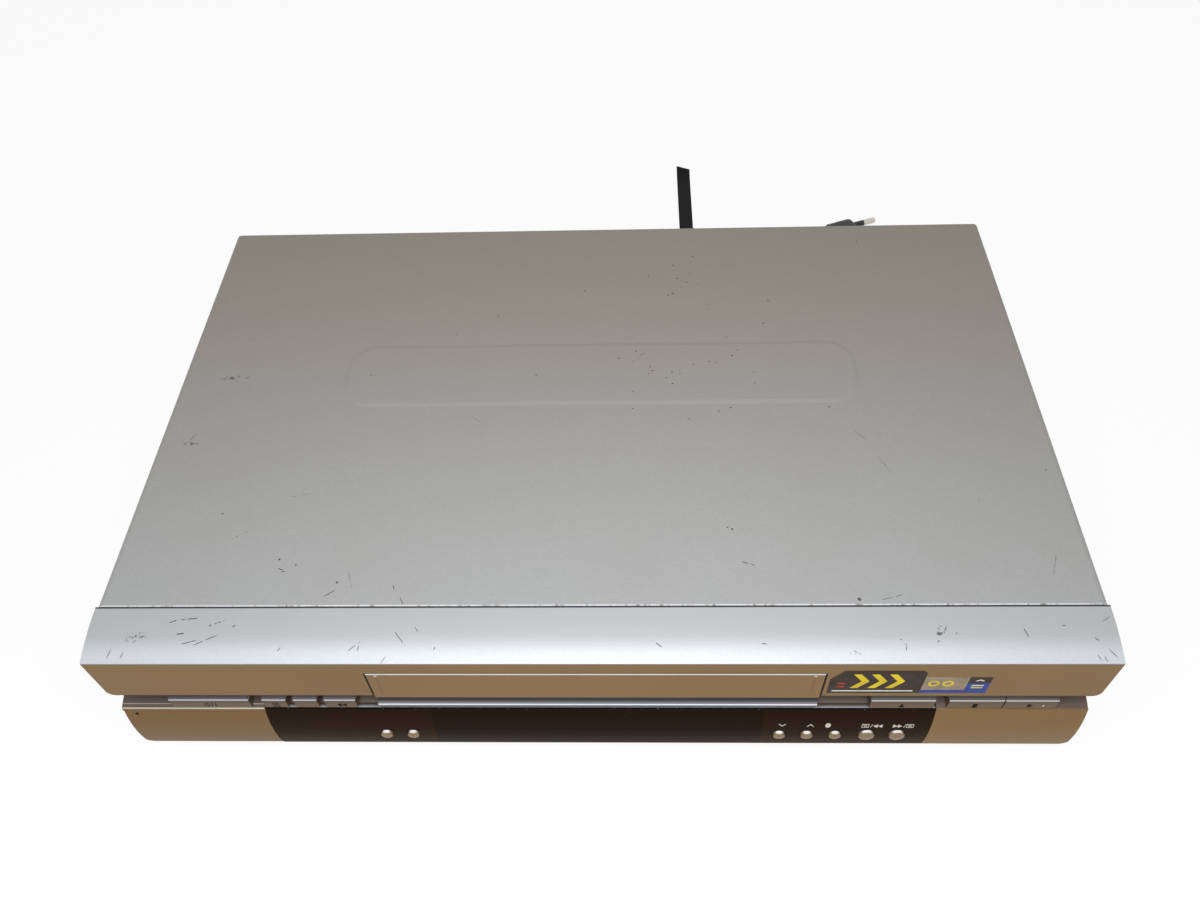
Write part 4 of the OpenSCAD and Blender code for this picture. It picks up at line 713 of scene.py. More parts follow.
    def execute(self, context):
        colours = context.scene.recorder_finishes
        paint = Finish("cover_paint")
        flake = paint.noise(2600, 2, 0.7)
        grain = paint.noise(700, 3, 0.6)
        cloud = paint.noise(9, 3)
        # Painted shade: the cover darker and warmer towards the rear
        tone = paint.mix(paint.y.rise(*self.AGED_Y) * paint.z.rise(*self.AGED_Z), colours.cover, colours.aged)
        tone = paint.mix(grain.rise(0.3, 0.7) * 0.07, tone, linear(90, 88, 86))
        tone = paint.mix(flake.rise(0.55, 0.75) * 0.12, tone, linear(205, 204, 200))
        tone = paint.mix(cloud.rise(0.45, 0.75) * 0.16, tone, linear(136, 132, 124))
        top = paint.z.rise(Z_TOP - 0.6, Z_TOP - 0.2)
        broken = paint.noise(420, 3).rise(0.4, 0.55)
        dark = paint.marks(self.SCRATCHES) * broken * 0.5
        dark = dark.either(paint.marks(self.SMUDGES) * paint.noise(700, 3).rise(0.53, 0.6) * 0.75) * top
        dust = paint.cells(55).rise(0.045, 0.02) * paint.noise(6, 1).rise(0.5, 0.72) * 0.4 * top
        tone = paint.mix(dark.either(dust), tone, linear(62, 58, 54))
        # Painted highlight along the lid's front edge, broken by darker chipped wear
        edge = 1 - paint.y.rise(Y_SEAM + 0.55, Y_SEAM + 1.0)
        chips = paint.noise(260, 5, 0.65, vector=paint.stretched(1, 0.2, 0.2)).rise(0.5, 0.68)
        worn = paint.mix(chips, linear(208, 209, 213), linear(110, 106, 108))
        tone = paint.mix(edge * top * 0.85, tone, worn)
        material = paint.surface(Base_Color=tone, Metallic=0.2, Roughness=0.46 + grain * 0.06 + dark * 0.2,
                                 Normal=paint.bump(grain * 0.6 + flake * 0.4, 0.03))
        dress(material, "top_cover")
        self.chips()
        return {"FINISHED"}


class RECORDER_OT_front(bpy.types.Operator):
    """Front moulding in one lacquer: painted reflections make the strip silver and the faces tan, with
    painted shade, painted highlights, and wear on the strip
    """

    bl_idname = "recorder.front"
    bl_label = "Front moulding"

    # Shadow gap round the cassette door, and the painted highlight on the ledge's step left of the window
    GAP_X, GAP_Z = (96.5, 97.35), (75.2, 75.75)
    GAP_SIDE_TOP = 75.4
    GAP_TOP_END = (96.9, 97.2)
    STEP_Y, STEP_Z = (-138.1, -137.85), (42, 42.4)
    SCRATCHES = [(-178.7, -121.7, 20, 2.5, 0.3), (-172.4, -120.7, 5, 4, 0.3), (-160.2, -122.7, 20, 4, 0.35),
                 (-174.9, -127.4, 10, 2, 0.35), (-163.4, -130.2, 25, 6, 0.25), (-170, -131, 15, 4, 0.25),
                 (-80.9, -129.6, -50, 4.5, 0.2), (108.2, -135.5, -30, 2, 0.18), (128.3, -133.8, 70, 1.4, 0.2),
                 (178, -127.9, -70, 3, 0.25), (26.5, -131.8, -35, 3, 0.25), (145.2, -126, 60, 1.8, 0.25),
                 (142.2, -130.6, 30, 1.3, 0.3), (-100, -133, 40, 4, 0.2)]
    SMUDGES = [(-193.4, -128.8, 30, 5, 2.4), (143, -127.5, 40, 3, 1.4), (105, -136, 0, 3, 0.8)]

    def strip(self, paint, dark):
        """Silver of the strip as a painted reflection, with a painted highlight along the crease, marks and a
        dark seam.
        """
        colours = bpy.context.scene.recorder_finishes
        # Painted highlight: brightest at the crease, fading towards the seam
        fade = paint.y.rise(Y_CREASE + 2.5, Y_CREASE + 13)
        silver = paint.mix(fade, shade(colours.strip, 1.14), colours.strip_rear)
        silver = paint.mix(paint.grain.rise(0.3, 0.7) * 0.1, silver, linear(150, 152, 154))
        silver = paint.mix(dark, silver, linear(60, 57, 56))
        return paint.mix(paint.y.rise(Y_SEAM - 0.9, Y_SEAM - 0.5), silver, linear(58, 56, 60))

    def execute(self, context):
        groove = context.scene.recorder_finishes.groove
        paint = Lacquer("front_lacquer")
        ahead = 1 - paint.y.rise(Y_CREASE + 0.3, Y_CREASE + 0.8)
        lower = 1 - paint.z.rise(Z_LEDGE - 0.5, Z_LEDGE)
        side = abs(paint.x).rise(HALF_W - 0.4, HALF_W - 0.1)
        # Painted shade: faces set back in the groove take its grey
        tone = paint.mix(ahead.either(lower).either(side), groove, paint.champagne(0.35, 1, 0.8))
        dark = paint.marks(self.SCRATCHES) * paint.noise(420, 3).rise(0.38, 0.52)
        dark = dark.either(paint.marks(self.SMUDGES) * paint.noise(600, 2).rise(0.52, 0.62) * 0.8)
        tone = paint.mix(paint.z.rise(Z_CREASE - 0.35, Z_CREASE - 0.1), tone, self.strip(paint, dark))
        # Painted shade: a thin bluish grey line along the crease
        crease = paint.z.band(Z_CREASE - 0.9, Z_CREASE - 0.3, 0.15) * ahead
        tone = paint.mix(crease * 0.75, tone, linear(128, 126, 136))
        # Painted highlight: a bright line on the ledge's edge left of the window, a plain tan line elsewhere
        rim = paint.z.band(Z_LEDGE - 0.1, Z_LEDGE + 0.18, 0.12)
        rim = rim * (1 - paint.y.rise(Y_CREASE + 0.25, Y_CREASE + 0.5))
        left = 1 - paint.x.rise(-WINDOW_END - 1, -WINDOW_END)
        tone = paint.mix(rim, tone, paint.mix(left, linear(112, 88, 58), linear(182, 188, 188)))
        # Painted highlight on the ledge's step left of the window
        step = paint.y.band(*self.STEP_Y, 0.08) * lower.either(1 - paint.z.rise(*self.STEP_Z)) * left
        tone = paint.mix(step * 0.6, tone, linear(170, 172, 168))
        beside = abs(paint.x).band(*self.GAP_X, 0.1) * paint.z.band(Z_UPPER, self.GAP_SIDE_TOP, 0.1)
        above = paint.z.band(*self.GAP_Z, 0.1) * (1 - abs(paint.x).rise(*self.GAP_TOP_END))
        tone = paint.mix(beside.either(above * 0.7) * ahead, tone, linear(34, 25, 18))
        # Painted shade along the lower edge of the upper face, above the groove
        under = paint.z.band(Z_UPPER - 0.2, Z_UPPER + 0.5, 0.2) * ahead
        tone = paint.mix(under * 0.6, tone, linear(82, 66, 52))
        roughness = 0.42 + paint.grain * 0.08 + dark * 0.2
        dress(paint.coat(tone, roughness, paint.grain * 0.5 + paint.flake * 0.5, 0.006), "front_bezel")
        return {"FINISHED"}


class RECORDER_OT_window(bpy.types.Operator):
    """Smoked window, tinted brown and lighter towards the bottom as a painted reflection of the floor, with
    the darker display field, and the display tube behind it
    """

    bl_idname = "recorder.window"
    bl_label = "Window"

    def top_edge(self, smoke):
        """Painted shade as a dark speckled line in front, then a painted highlight on the edge that fades to
        the groove's painted shade.
        """
        specks = smoke.noise(1300, 2).rise(0.67, 0.73)
        line = smoke.mix(specks, linear(20, 18, 19), linear(130, 126, 130))
        back = smoke.y.rise(Y_CREASE + 1.1, Y_CREASE + 2.2)
        shelf = smoke.mix(back, linear(140, 143, 147), linear(86, 80, 78))
        return smoke.mix(smoke.y.rise(Y_CREASE + 0.7, Y_CREASE + 1.0), line, shelf)

    def execute(self, context):
        window = context.scene.recorder_finishes.window
        smoke = Finish("smoked_window")
        # Painted reflection: lighter towards the bottom, where the window reflects more of the floor
        low = 1 - smoke.z.rise(Z_BASE, Z_LEDGE)
        tone = smoke.mix(low, shade(window, 0.7), shade(window, 1.35))
        field = abs(smoke.x).rise(DISPLAY_END + 1.5, DISPLAY_END + 0.5)
        tone = smoke.mix(field * 0.55, tone, linear(24, 18, 14))
        dust = smoke.noise(1500, 2).rise(0.68, 0.76) * smoke.noise(20, 2).rise(0.45, 0.7)
        tone = smoke.mix(dust * 0.08, tone, linear(150, 140, 128))
        # Painted shade and painted highlight along the window's top
        tone = smoke.mix(smoke.z.rise(Z_LEDGE - 0.6, Z_LEDGE - 0.3), tone, self.top_edge(smoke))
        haze = smoke.noise(40, 4)
        material = smoke.surface(Base_Color=tone, Roughness=0.14 + haze * 0.14 + dust * 0.2,
                                 Specular_IOR_Level=0.008)
        dress(material, "display_window")
        tube = Finish("display_glass")
        grid = tube.noise(300, 2, vector=tube.stretched(4, 1, 1))
        glass = tube.surface(Base_Color=tube.mix(grid, linear(24, 30, 30), linear(40, 52, 50)),
                             Roughness=0.1 + grid * 0.1)
        dress(glass, "display_tube")
        return {"FINISHED"}


class RECORDER_OT_doors(bpy.types.Operator):
    """Cassette door with a painted highlight on its top edge, painted shade in its end grooves, and painted
    shade and a painted highlight on its rounded lip, and the socket door
    """

    bl_idname = "recorder.doors"
    bl_label = "Doors"

    # Painted shade of the grooves near the door's ends, and the pale pip above each
    LINE_X, LINE_Z = (92.4, 92.7), (56.5, 73.5)
    PIP_X, PIP_Z = (92.1, 93.0), (72.6, 73.5)
    EDGE_Z = (74.1, 74.4)

    # Heights of the lip's bluish painted shade underneath, its painted shade at the back and its painted
    # highlight line
    LIP_UNDER, LIP_BACK, LIP_SHINE = (45.0, 46.2), (47.2, 48.8), (46.45, 46.9)

    def cassette_door(self, lip_colour):
        paint = Lacquer("door_lacquer")
        face = paint.champagne(0.3, 1, 0.82)
        # Painted shade in the grooves near the door's ends
        lines = abs(paint.x).band(*self.LINE_X, 0.12) * paint.z.band(*self.LINE_Z, 0.3)
        face = paint.mix(lines * 0.7, face, linear(86, 70, 54))
        pip = abs(paint.x).band(*self.PIP_X, 0.15) * paint.z.band(*self.PIP_Z, 0.15)
        face = paint.mix(pip, face, linear(206, 196, 178))
        # Painted highlight along the door's top edge
        face = paint.mix(paint.z.rise(*self.EDGE_Z), face, linear(214, 210, 220))
        # Painted light on the lip: bluish shade underneath, shade at the back and a highlight line
        bull = paint.mix(paint.z.rise(*self.LIP_UNDER), linear(98, 104, 114), lip_colour)
        bull = paint.mix(paint.z.rise(*self.LIP_BACK), bull, linear(48, 47, 48))
        bull = paint.mix(paint.z.band(*self.LIP_SHINE, 0.25), bull, linear(224, 230, 232))
        tone = paint.mix(1 - paint.z.rise(Z_DOOR - 0.6, Z_DOOR - 0.1), face, bull)
        return paint.coat(tone, 0.38 + paint.grain * 0.1, paint.grain * 0.5 + paint.flake * 0.5, 0.015)

    def socket_door(self):
        paint = Lacquer("socket_door_lacquer")
        smudge = paint.noise(90, 4).rise(0.58, 0.75) * paint.noise(12, 2).rise(0.5, 0.65)
        tone = paint.mix(smudge * 0.3, paint.champagne(0.35, 0.8, 0.63), linear(88, 74, 60))
        return paint.coat(tone, 0.4 + paint.flake * 0.1, paint.flake, 0.015)

    def execute(self, context):
        dress(self.cassette_door(context.scene.recorder_finishes.lip), "cassette_door")
        dress(self.socket_door(), "av_door")
        return {"FINISHED"}


class RECORDER_OT_buttons(bpy.types.Operator):
    """Bar buttons with a painted highlight on the upper edge and painted shade above and below it, and domed
    round buttons with painted highlights, painted shade and a painted reflection of the floor
    """

    bl_idname = "recorder.buttons"
    bl_label = "Buttons"

    BARS = ("power_button", "timer_button", "search_button", "rewind_bar", "eject_button", "stop_button",
            "play_button")
    ROUNDS = ("tape_button", "picture_button", "channel_down_button", "channel_up_button", "record_button",
              "rewind_button", "forward_button")

    # Heights where a bar's face darkens in painted shade, its painted highlight starts, and its top turns
    # grey and then dark in painted shade
    FACE_Z, EDGE_Z, TOP_Z, BACK_Z = (41.6, 47), (48.1, 48.4), (48.8, 49.1), (49.2, 50.2)

    def execute(self, context):
        colours = context.scene.recorder_finishes
        bar = Finish("bar_lacquer")
        grain = bar.noise(600, 3)
        flake = bar.noise(2600, 2, 0.7)
        # Painted light on the bars: the face darker towards its top, a highlight on the upper edge, and the
        # top in shade
        tone = bar.mix(bar.z.rise(*self.FACE_Z), colours.bars, shade(colours.bars, 0.7))
        tone = bar.mix(flake.rise(0.5, 0.75) * 0.15, tone, shade(colours.bars, 1.4))
        tone = bar.mix(bar.z.rise(*self.EDGE_Z), tone, colours.bars_edge)
        tone = bar.mix(bar.z.rise(*self.TOP_Z), tone, linear(88, 82, 83))
        tone = bar.mix(bar.z.rise(*self.BACK_Z), tone, linear(62, 57, 56))
        worn = bar.noise(120, 4).rise(0.62, 0.8)
        tone = bar.mix(worn * 0.08, tone, linear(136, 124, 114))
        dress(bar.surface(Base_Color=tone, Metallic=0.35, Roughness=0.34 + grain * 0.12,
                          Specular_IOR_Level=0.15, Normal=bar.bump(flake, 0.015)), *self.BARS)

        bright = Finish("round_lacquer")
        normal = bright.node("ShaderNodeTexCoord", output="Normal")
        facing = bright.node("ShaderNodeSeparateXYZ", inputs={0: normal})
        # Painted light: a highlight on the tops, shade on the sides, and a painted reflection of a brown
        # floor below
        upper = facing.part("Z").rise(0.5, 0.62)
        beside = abs(facing).rise(0.35, 0.8)
        smear = bright.noise(900, 3)
        rim = bright.mix(beside, linear(232, 234, 236), linear(112, 110, 108))
        tone = bright.mix(upper, linear(126, 106, 78), rim)
        dress(bright.surface(Base_Color=tone, Roughness=0.22 + smear * 0.12, Specular_IOR_Level=0.15),
              *self.ROUNDS)
        return {"FINISHED"}


class RECORDER_OT_signs(bpy.types.Operator):
    """Plain transport signs on the bars and pale marks on the window"""

    bl_idname = "recorder.signs"
    bl_label = "Signs"

    BAR_FRONT = 0.4
    BAR_MID_Z, BAR_TALL = 44.0, 1.7
    MARK_V, MARK_TALL = 19.9, 1.5
    LAMP_X = 194.7
    PULL_AT = (-209.4, 28.6)

    def on_bar(self, x):
        return lambda u, v, h: (x + u, Y_CREASE + self.BAR_FRONT - h, self.BAR_MID_Z + v * self.BAR_TALL)

    def on_face(self, x, v0, tall=1.0):
        return lambda u, v, h: on_lower_face(x + u, v0 + v * tall, h)

    def arrows(self, towards, *starts):
        """Triangles that point left or right, each from its base."""
        return [[(s, -1.0), (s + 2.1 * towards, 0), (s, 1.0)] for s in starts]

    def frame_of(self, w, h, t, u=0.0, v=0.0):
        """Four thin bars round a rectangle."""
        left, right, low, high = u - w, u + w, v - h, v + h
        return [box(left, low, right, low + t), box(left, high - t, right, high),
                box(left, low + t, left + t, high - t), box(right - t, low + t, right, high - t)]

    def index(self, left):
        """A small frame with a bar in it, for a mark on the tape."""
        return self.frame_of(1.65, 1.0, 0.3, left + 1.65, 0.1) + [box(left + 0.9, -0.2, left + 2.4, 0.4)]

    def slash(self, left):
        return [[(left, -0.9), (left + 0.28, -0.9), (left + 1.0, 1.1), (left + 0.72, 1.1)]]

    def print_sign(self, name, outlines, place, body, slot, material):
        printed(name, outlines, place, -0.01, bpy.context.scene.recorder_signs.ink, body, slot, material)

    def execute(self, context):
        signs = context.scene.recorder_signs
        dark = ink("dark_ink", 900, 0.6, signs.dark, linear(80, 70, 64), 0.5, 0.02)
        pale = ink("pale_ink", 700, 0.5, signs.pale, linear(120, 112, 102), 0.55, 0.05)
        bars = {
            "power_button": [arc_band(0.75, 1.05, 120, 420, -1.8), box(-1.95, 0.1, -1.65, 1.25),
                             [(-0.1, -1.1), (0.2, -1.1), (0.9, 1.2), (0.6, 1.2)], box(1.9, -1.0, 2.25, 1.1)],
            "timer_button": self.frame_of(1.5, 1.25, 0.28) + [arc_band(0.4, 0.7, 0, 360),
                                                              box(-0.12, 0, 0.12, 0.5)],
            "rewind_bar": self.arrows(-1, 0.1, 2.3),
            "eject_button": [[(-1.3, -0.95), (1.3, -0.95), (0, 1.1)]],
            "stop_button": [box(-1.05, -1.05, 1.05, 1.05)],
            "play_button": [[(-1.2, -1.05), (1.3, 0), (-1.2, 1.05)]],
        }
        for node, outlines in bars.items():
            self.print_sign(node + "_sign", outlines, self.on_bar(centre_x(node)), node, "bar_lacquer", dark)
        window = {
            "channel_down_button": [[(-0.9, 1.0), (-0.6, 1.2), (0.8, 0.1), (2.2, 1.2), (2.5, 1.0),
                                     (0.8, -0.35)]],
            "channel_up_button": [[(-0.5, -0.3), (1.1, 1.1), (2.7, -0.3), (2.4, -0.5), (1.1, 0.6),
                                   (-0.2, -0.5)]],
            "record_button": [disc(1.25, -3.9, 0.3)],
            "rewind_button": self.index(-3.1) + self.slash(0.8) + self.arrows(-1, 4.1, 6.2),
            "forward_button": self.arrows(1, -2.8, -0.7) + self.slash(1.9) + self.index(3.1),
        }
        for node, outlines in window.items():
            place = self.on_face(centre_x(node), self.MARK_V, self.MARK_TALL)
            self.print_sign(node + "_mark", outlines, place, "case", "smoked_window", pale)
        self.print_sign("play_lamp", [disc(0.42, count=16)], self.on_bar(self.LAMP_X), "play_button",
                        "bar_lacquer", pale)
        self.print_sign("pull_mark", [[(-0.9, 0), (0.9, -1.1), (0.9, 1.1)]], self.on_face(*self.PULL_AT),
                        "av_door", "front_lacquer", dark)
        return {"FINISHED"}


class RECORDER_OT_sticker(bpy.types.Operator):
    """Sticker beside the cassette door: a dark film with plain chevrons, a silver panel and a blue one"""

    bl_idname = "recorder.sticker"
    bl_label = "Sticker"

    # Each colour, the colour of its wear, and its roughness
    FILMS = {
        "sticker_dark": ((42, 30, 22), (58, 44, 34), 0.25),
        "sticker_yellow": ((214, 190, 30), (190, 164, 34), 0.3),
        "sticker_red": ((150, 56, 38), (122, 48, 34), 0.3),
        "sticker_silver": ((140, 126, 104), (116, 104, 88), 0.3),
        "sticker_blue": ((44, 66, 140), (36, 52, 110), 0.3),
        "sticker_white": ((206, 204, 196), (176, 172, 164), 0.35),
    }
    DARK, YELLOW, RED, SILVER, BLUE, WHITE = range(6)
    LEFT, STEP, RIGHT, LOW, HIGH = 98.9, 138.0, 165.8, 57.7, 72.5
    BLOCK_X, BLOCK_Z = 156.4, 66.8
    BAND_Z = 60.6

    def film(self, name, tone, worn, roughness):
        finish = Finish(name)
        wear = finish.noise(160, 3)
        return finish.surface(Base_Color=finish.mix(wear.rise(0.35, 0.75), linear(*tone), linear(*worn)),
                              Roughness=roughness + wear * 0.15, Specular_IOR_Level=0.06)

    def chevron(self, x):
        return [(x, 62.4), (x + 3.2, 62.4), (x + 7.4, 68.7), (x + 3.2, 75), (x, 75), (x + 4.2, 68.7)]

    def execute(self, context):
        film = context.scene.recorder_signs.film
        lift = film + 0.02
        base, first, second = (-0.02, film), (film - 0.01, lift), (lift - 0.01, lift + 0.02)
        main = [(self.LEFT, self.LOW), (self.STEP, self.LOW), (self.STEP, 76.2), (136.0, 78.2), (104.0, 78.2),
                (self.LEFT, 70.5)]
        panel = self.STEP + 0.2
        shapes = [(main, base, self.DARK), (box(panel, self.LOW, self.RIGHT, self.HIGH), base, self.SILVER)]
        shapes += [(self.chevron(108 + 7.4 * k), first, self.YELLOW) for k in range(3)]
        shapes += [
            (box(self.LEFT + 2, 59.2, self.STEP - 3, 60.3), first, self.WHITE),
            (box(102.4, 63, 105.6, 64.4), first, self.RED),
            (box(102.4, 66, 105.6, 67.4), first, self.RED),
            (box(panel, self.LOW, self.RIGHT, self.BAND_Z), first, self.BLUE),
            (box(self.BLOCK_X, self.BAND_Z, self.RIGHT, self.BLOCK_Z), first, self.BLUE),
            (box(self.BLOCK_X, self.BLOCK_Z, self.RIGHT, self.HIGH), first, self.DARK),
            (arc_band(1.5, 2.4, 0, 359, 142.5, 66.6, 28), first, self.YELLOW),
            (arc_band(1.5, 2.4, 0, 359, 148.4, 66.6, 28), first, self.YELLOW),
            (arc_band(1.2, 2.0, 20, 160, 161.1, 68.2), second, self.WHITE),
            (box(158.6, 62.4, 163.6, 63.3), second, self.YELLOW),
            (box(158.6, 64.4, 163.6, 65.3), second, self.WHITE),
        ]
        bm = bmesh.new()
        for outline, (low, high), index in shapes:
            plate(bm, outline, on_upper_face, low, high, index)
        films = [self.film(name, *values) for name, values in self.FILMS.items()]
        piece("front_sticker", bm, "case", "smoked_window", *films)
        return {"FINISHED"}


class RECORDER_OT_insides(bpy.types.Operator):
    """Finishes of the base, rear, sockets, boards, deck and lift"""

    bl_idname = "recorder.insides"
    bl_label = "Base, rear and insides"

    # Two tones, roughness, scale and depth of the grain, and the nodes that have it
    PLASTICS = {
        "black_plastic": ((30, 30, 31), (38, 38, 39), 0.5, 900, 0.03, ["base_frame", "tact_switches"]),
        "socket_plastic": ((22, 22, 23), (30, 30, 31), 0.4, 900, 0.03, ["scart_sockets"]),
        "white_plastic": ((214, 212, 204), (200, 197, 188), 0.4, 900, 0.03,
                          ["carriage_slider", "carriage_gear", "supply_reel", "takeup_reel"]),
        "rear_paint": ((44, 44, 47), (52, 52, 55), 0.45, 1400, 0.04, ["rear_panel"]),
        "foot_rubber": ((28, 27, 27), (40, 39, 38), 0.7, 500, 0.05, ["feet"]),
        "roller_rubber": ((26, 25, 25), (34, 33, 33), 0.65, 700, 0.03, ["pinch_roller"]),
        "board_parts": ((34, 34, 36), (52, 50, 48), 0.4, 900, 0.03, ["board_parts"]),
    }

    # Two tones, roughness, stretch of the brushing, and the nodes
    METALS = {
        "zinc_steel": ((178, 182, 186), (150, 154, 158), 0.35, (1, 12, 12),
                       ["bottom_plate", "tuner_box", "deck_plate", "carriage_frame", "cassette_holder",
                        "pinch_arm", "loading_motor", "tape_heads", "left_guide", "right_guide"]),
        "core_steel": ((96, 94, 92), (120, 116, 110), 0.5, (1, 1, 14), ["power_transformer"]),
        "spring_steel": ((170, 172, 176), (140, 142, 146), 0.3, (1, 12, 12), ["door_spring"]),
        "socket_metal": ((196, 196, 194), (166, 164, 160), 0.25, (1, 6, 1),
                         ["front_jacks", "aerial_sockets", "audio_sockets"]),
        "gear_brass": ((196, 158, 84), (168, 130, 66), 0.3, (1, 12, 12), ["motor_pinion"]),
        "drum_aluminium": ((206, 208, 212), (180, 182, 188), 0.2, (1, 1, 20),
                           ["upper_drum", "lower_drum", "capstan"]),
    }
    BOARDS = {
        "board_green": ((38, 84, 52), (56, 110, 66), "front_board"),
        "board_brown": ((126, 98, 62), (150, 120, 80), "circuit_boards"),
    }

    # The holder's rings end at this y, and their colours change midway between the jacks
    RING_Y = (-122.7, -122.6)
    WHITE_FROM, RED_FROM = (-190.1, -189.9), (-175.1, -174.9)

    def plastic(self, name, tone, other, rough, scale, depth):
        finish = Finish(name)
        grain = finish.noise(scale, 3)
        patch = finish.noise(25, 3)
        return finish.surface(Base_Color=finish.mix(patch.rise(0.35, 0.7), linear(*tone), linear(*other)),
                              Roughness=rough + grain * 0.15, Normal=finish.bump(grain, depth))

    def metal(self, name, tone, other, rough, streaks):
        finish = Finish(name)
        brush = finish.noise(300, 3, vector=finish.stretched(*streaks))
        patch = finish.noise(30, 3)
        return finish.surface(Base_Color=finish.mix(brush * 0.5 + patch * 0.5, linear(*tone), linear(*other)),
                              Metallic=0.9, Roughness=rough + brush * 0.18, Normal=finish.bump(brush, 0.01))

    def board(self, name, tone, trace):
        finish = Finish(name)
        lines = finish.noise(160, 1, vector=finish.stretched(1, 0.15, 1)).band(0.47, 0.53, 0.01)
        cross = finish.noise(160, 1, vector=finish.stretched(0.15, 1, 1)).band(0.48, 0.52, 0.01)
        wires = lines.either(cross)
        return finish.surface(Base_Color=finish.mix(wires, linear(*tone), linear(*trace)),
                              Roughness=0.35 + wires * 0.15, Normal=finish.bump(wires, 0.04))

    def jack_rings(self):
        """Yellow, white and red rings on a dark holder."""
        finish = Finish("jack_colours")
        ahead = 1 - finish.y.rise(*self.RING_Y)
        grain = finish.noise(900, 2)
        tone = finish.mix(finish.x.rise(*self.WHITE_FROM), linear(206, 176, 40), linear(214, 210, 200))
        tone = finish.mix(finish.x.rise(*self.RED_FROM), tone, linear(176, 40, 34))
        tone = finish.mix(ahead, linear(28, 28, 29), tone)
        return finish.surface(Base_Color=tone, Roughness=0.35 + grain * 0.15)

    def execute(self, context):
        for name, (*values, nodes) in self.PLASTICS.items():
            dress(self.plastic(name, *values), *nodes)
        for name, (*values, nodes) in self.METALS.items():
            dress(self.metal(name, *values), *nodes)
        for name, (*values, node) in self.BOARDS.items():
            dress(self.board(name, *values), node)
        dress(self.jack_rings(), "jack_holder")
        return {"FINISHED"}


class RECORDER_OT_rear(bpy.types.Operator):
    """Rear panel: printed frames and arrows, a blank plate, and coloured cores in the sockets"""

    bl_idname = "recorder.rear"
    bl_label = "Rear prints"

    PANEL_Y = 132
    PRINT = 0.03
    LINE, FRAME_R, FRAME_GAP = 0.4, 3, 7
    FRAMES = [(151, 33.5, 198, 51), (112.5, 21.5, 131.5, 56.5)]
    ARROWS = [(190.4, 53.8, 1), (165.4, 53.8, -1), (122, 56.5, 1), (-50.6, 56, 1), (-50.6, 32, -1)]
    PLATE, PLATE_R = (36, 42, 88, 64), 1.5
    AUDIO_X = 122
    CORE_R, CORE_BORE, CORE_END, CORE_DEEP = 3.05, 1.6, 140.3, 5

    # Height and colour of each audio socket
    CORES = {"white_core": (47, (204, 200, 190)), "red_core": (30, (158, 36, 32))}

    def on_panel(self, u, v, h):
        return u, self.PANEL_Y + h, v

    def frame_line(self, u0, v0, u1, v1):
        t, r, gap = self.LINE, self.FRAME_R, self.FRAME_GAP
        return rounded(u0, v0, u1, v1, r, gap) + rounded(u0 + t, v0 + t, u1 - t, v1 - t, r - t, gap)[::-1]

    def arrow(self, u, v, towards):
        return [(u - 1.5, v - 1.1 * towards), (u + 1.5, v - 1.1 * towards), (u, v + 1.3 * towards)]

    def execute(self, context):
        pale = ink("panel_print", 800, 0.5, linear(172, 170, 165), linear(110, 108, 106), 0.55, 0.1)
        prints = [self.frame_line(*f) for f in self.FRAMES] + [self.arrow(*a) for a in self.ARROWS]
        printed("rear_prints", prints, self.on_panel, -0.01, self.PRINT, "case", "rear_paint", pale)

        foil = Finish("blank_plate")
        brush = foil.noise(400, 3, vector=foil.stretched(0.1, 1, 6))
        silver = foil.surface(Base_Color=foil.mix(brush, linear(150, 150, 148), linear(172, 172, 170)),
                              Metallic=0.3, Roughness=0.4 + brush * 0.15)
        outline = rounded(*self.PLATE, self.PLATE_R)
        printed("rear_plate", [outline], self.on_panel, -0.02, 0.1, "case", "zinc_steel", silver)

        bm = bmesh.new()
        finishes = []
        r, bore, end = self.CORE_R, self.CORE_BORE, self.CORE_END
        profile = [(0.1, self.PANEL_Y), (r, self.PANEL_Y), (r, end - 0.3), (r - 0.3, end), (bore, end),
                   (bore, end - self.CORE_DEEP), (0.1, end - self.CORE_DEEP)]
        for k, (name, (z, screen)) in enumerate(self.CORES.items()):
            core = Finish(name)
            grain = core.noise(900, 2)
            tone = core.mix(grain * 0.3, linear(*screen), shade(linear(*screen), 0.7))
            finishes.append(core.surface(Base_Color=tone, Roughness=0.35 + grain * 0.15))
            turned(bm, profile, (self.AUDIO_X, 0, z), (0, 1, 0), 32, k)
        piece("socket_cores", bm, "case", "white_plastic", *finishes)
        return {"FINISHED"}


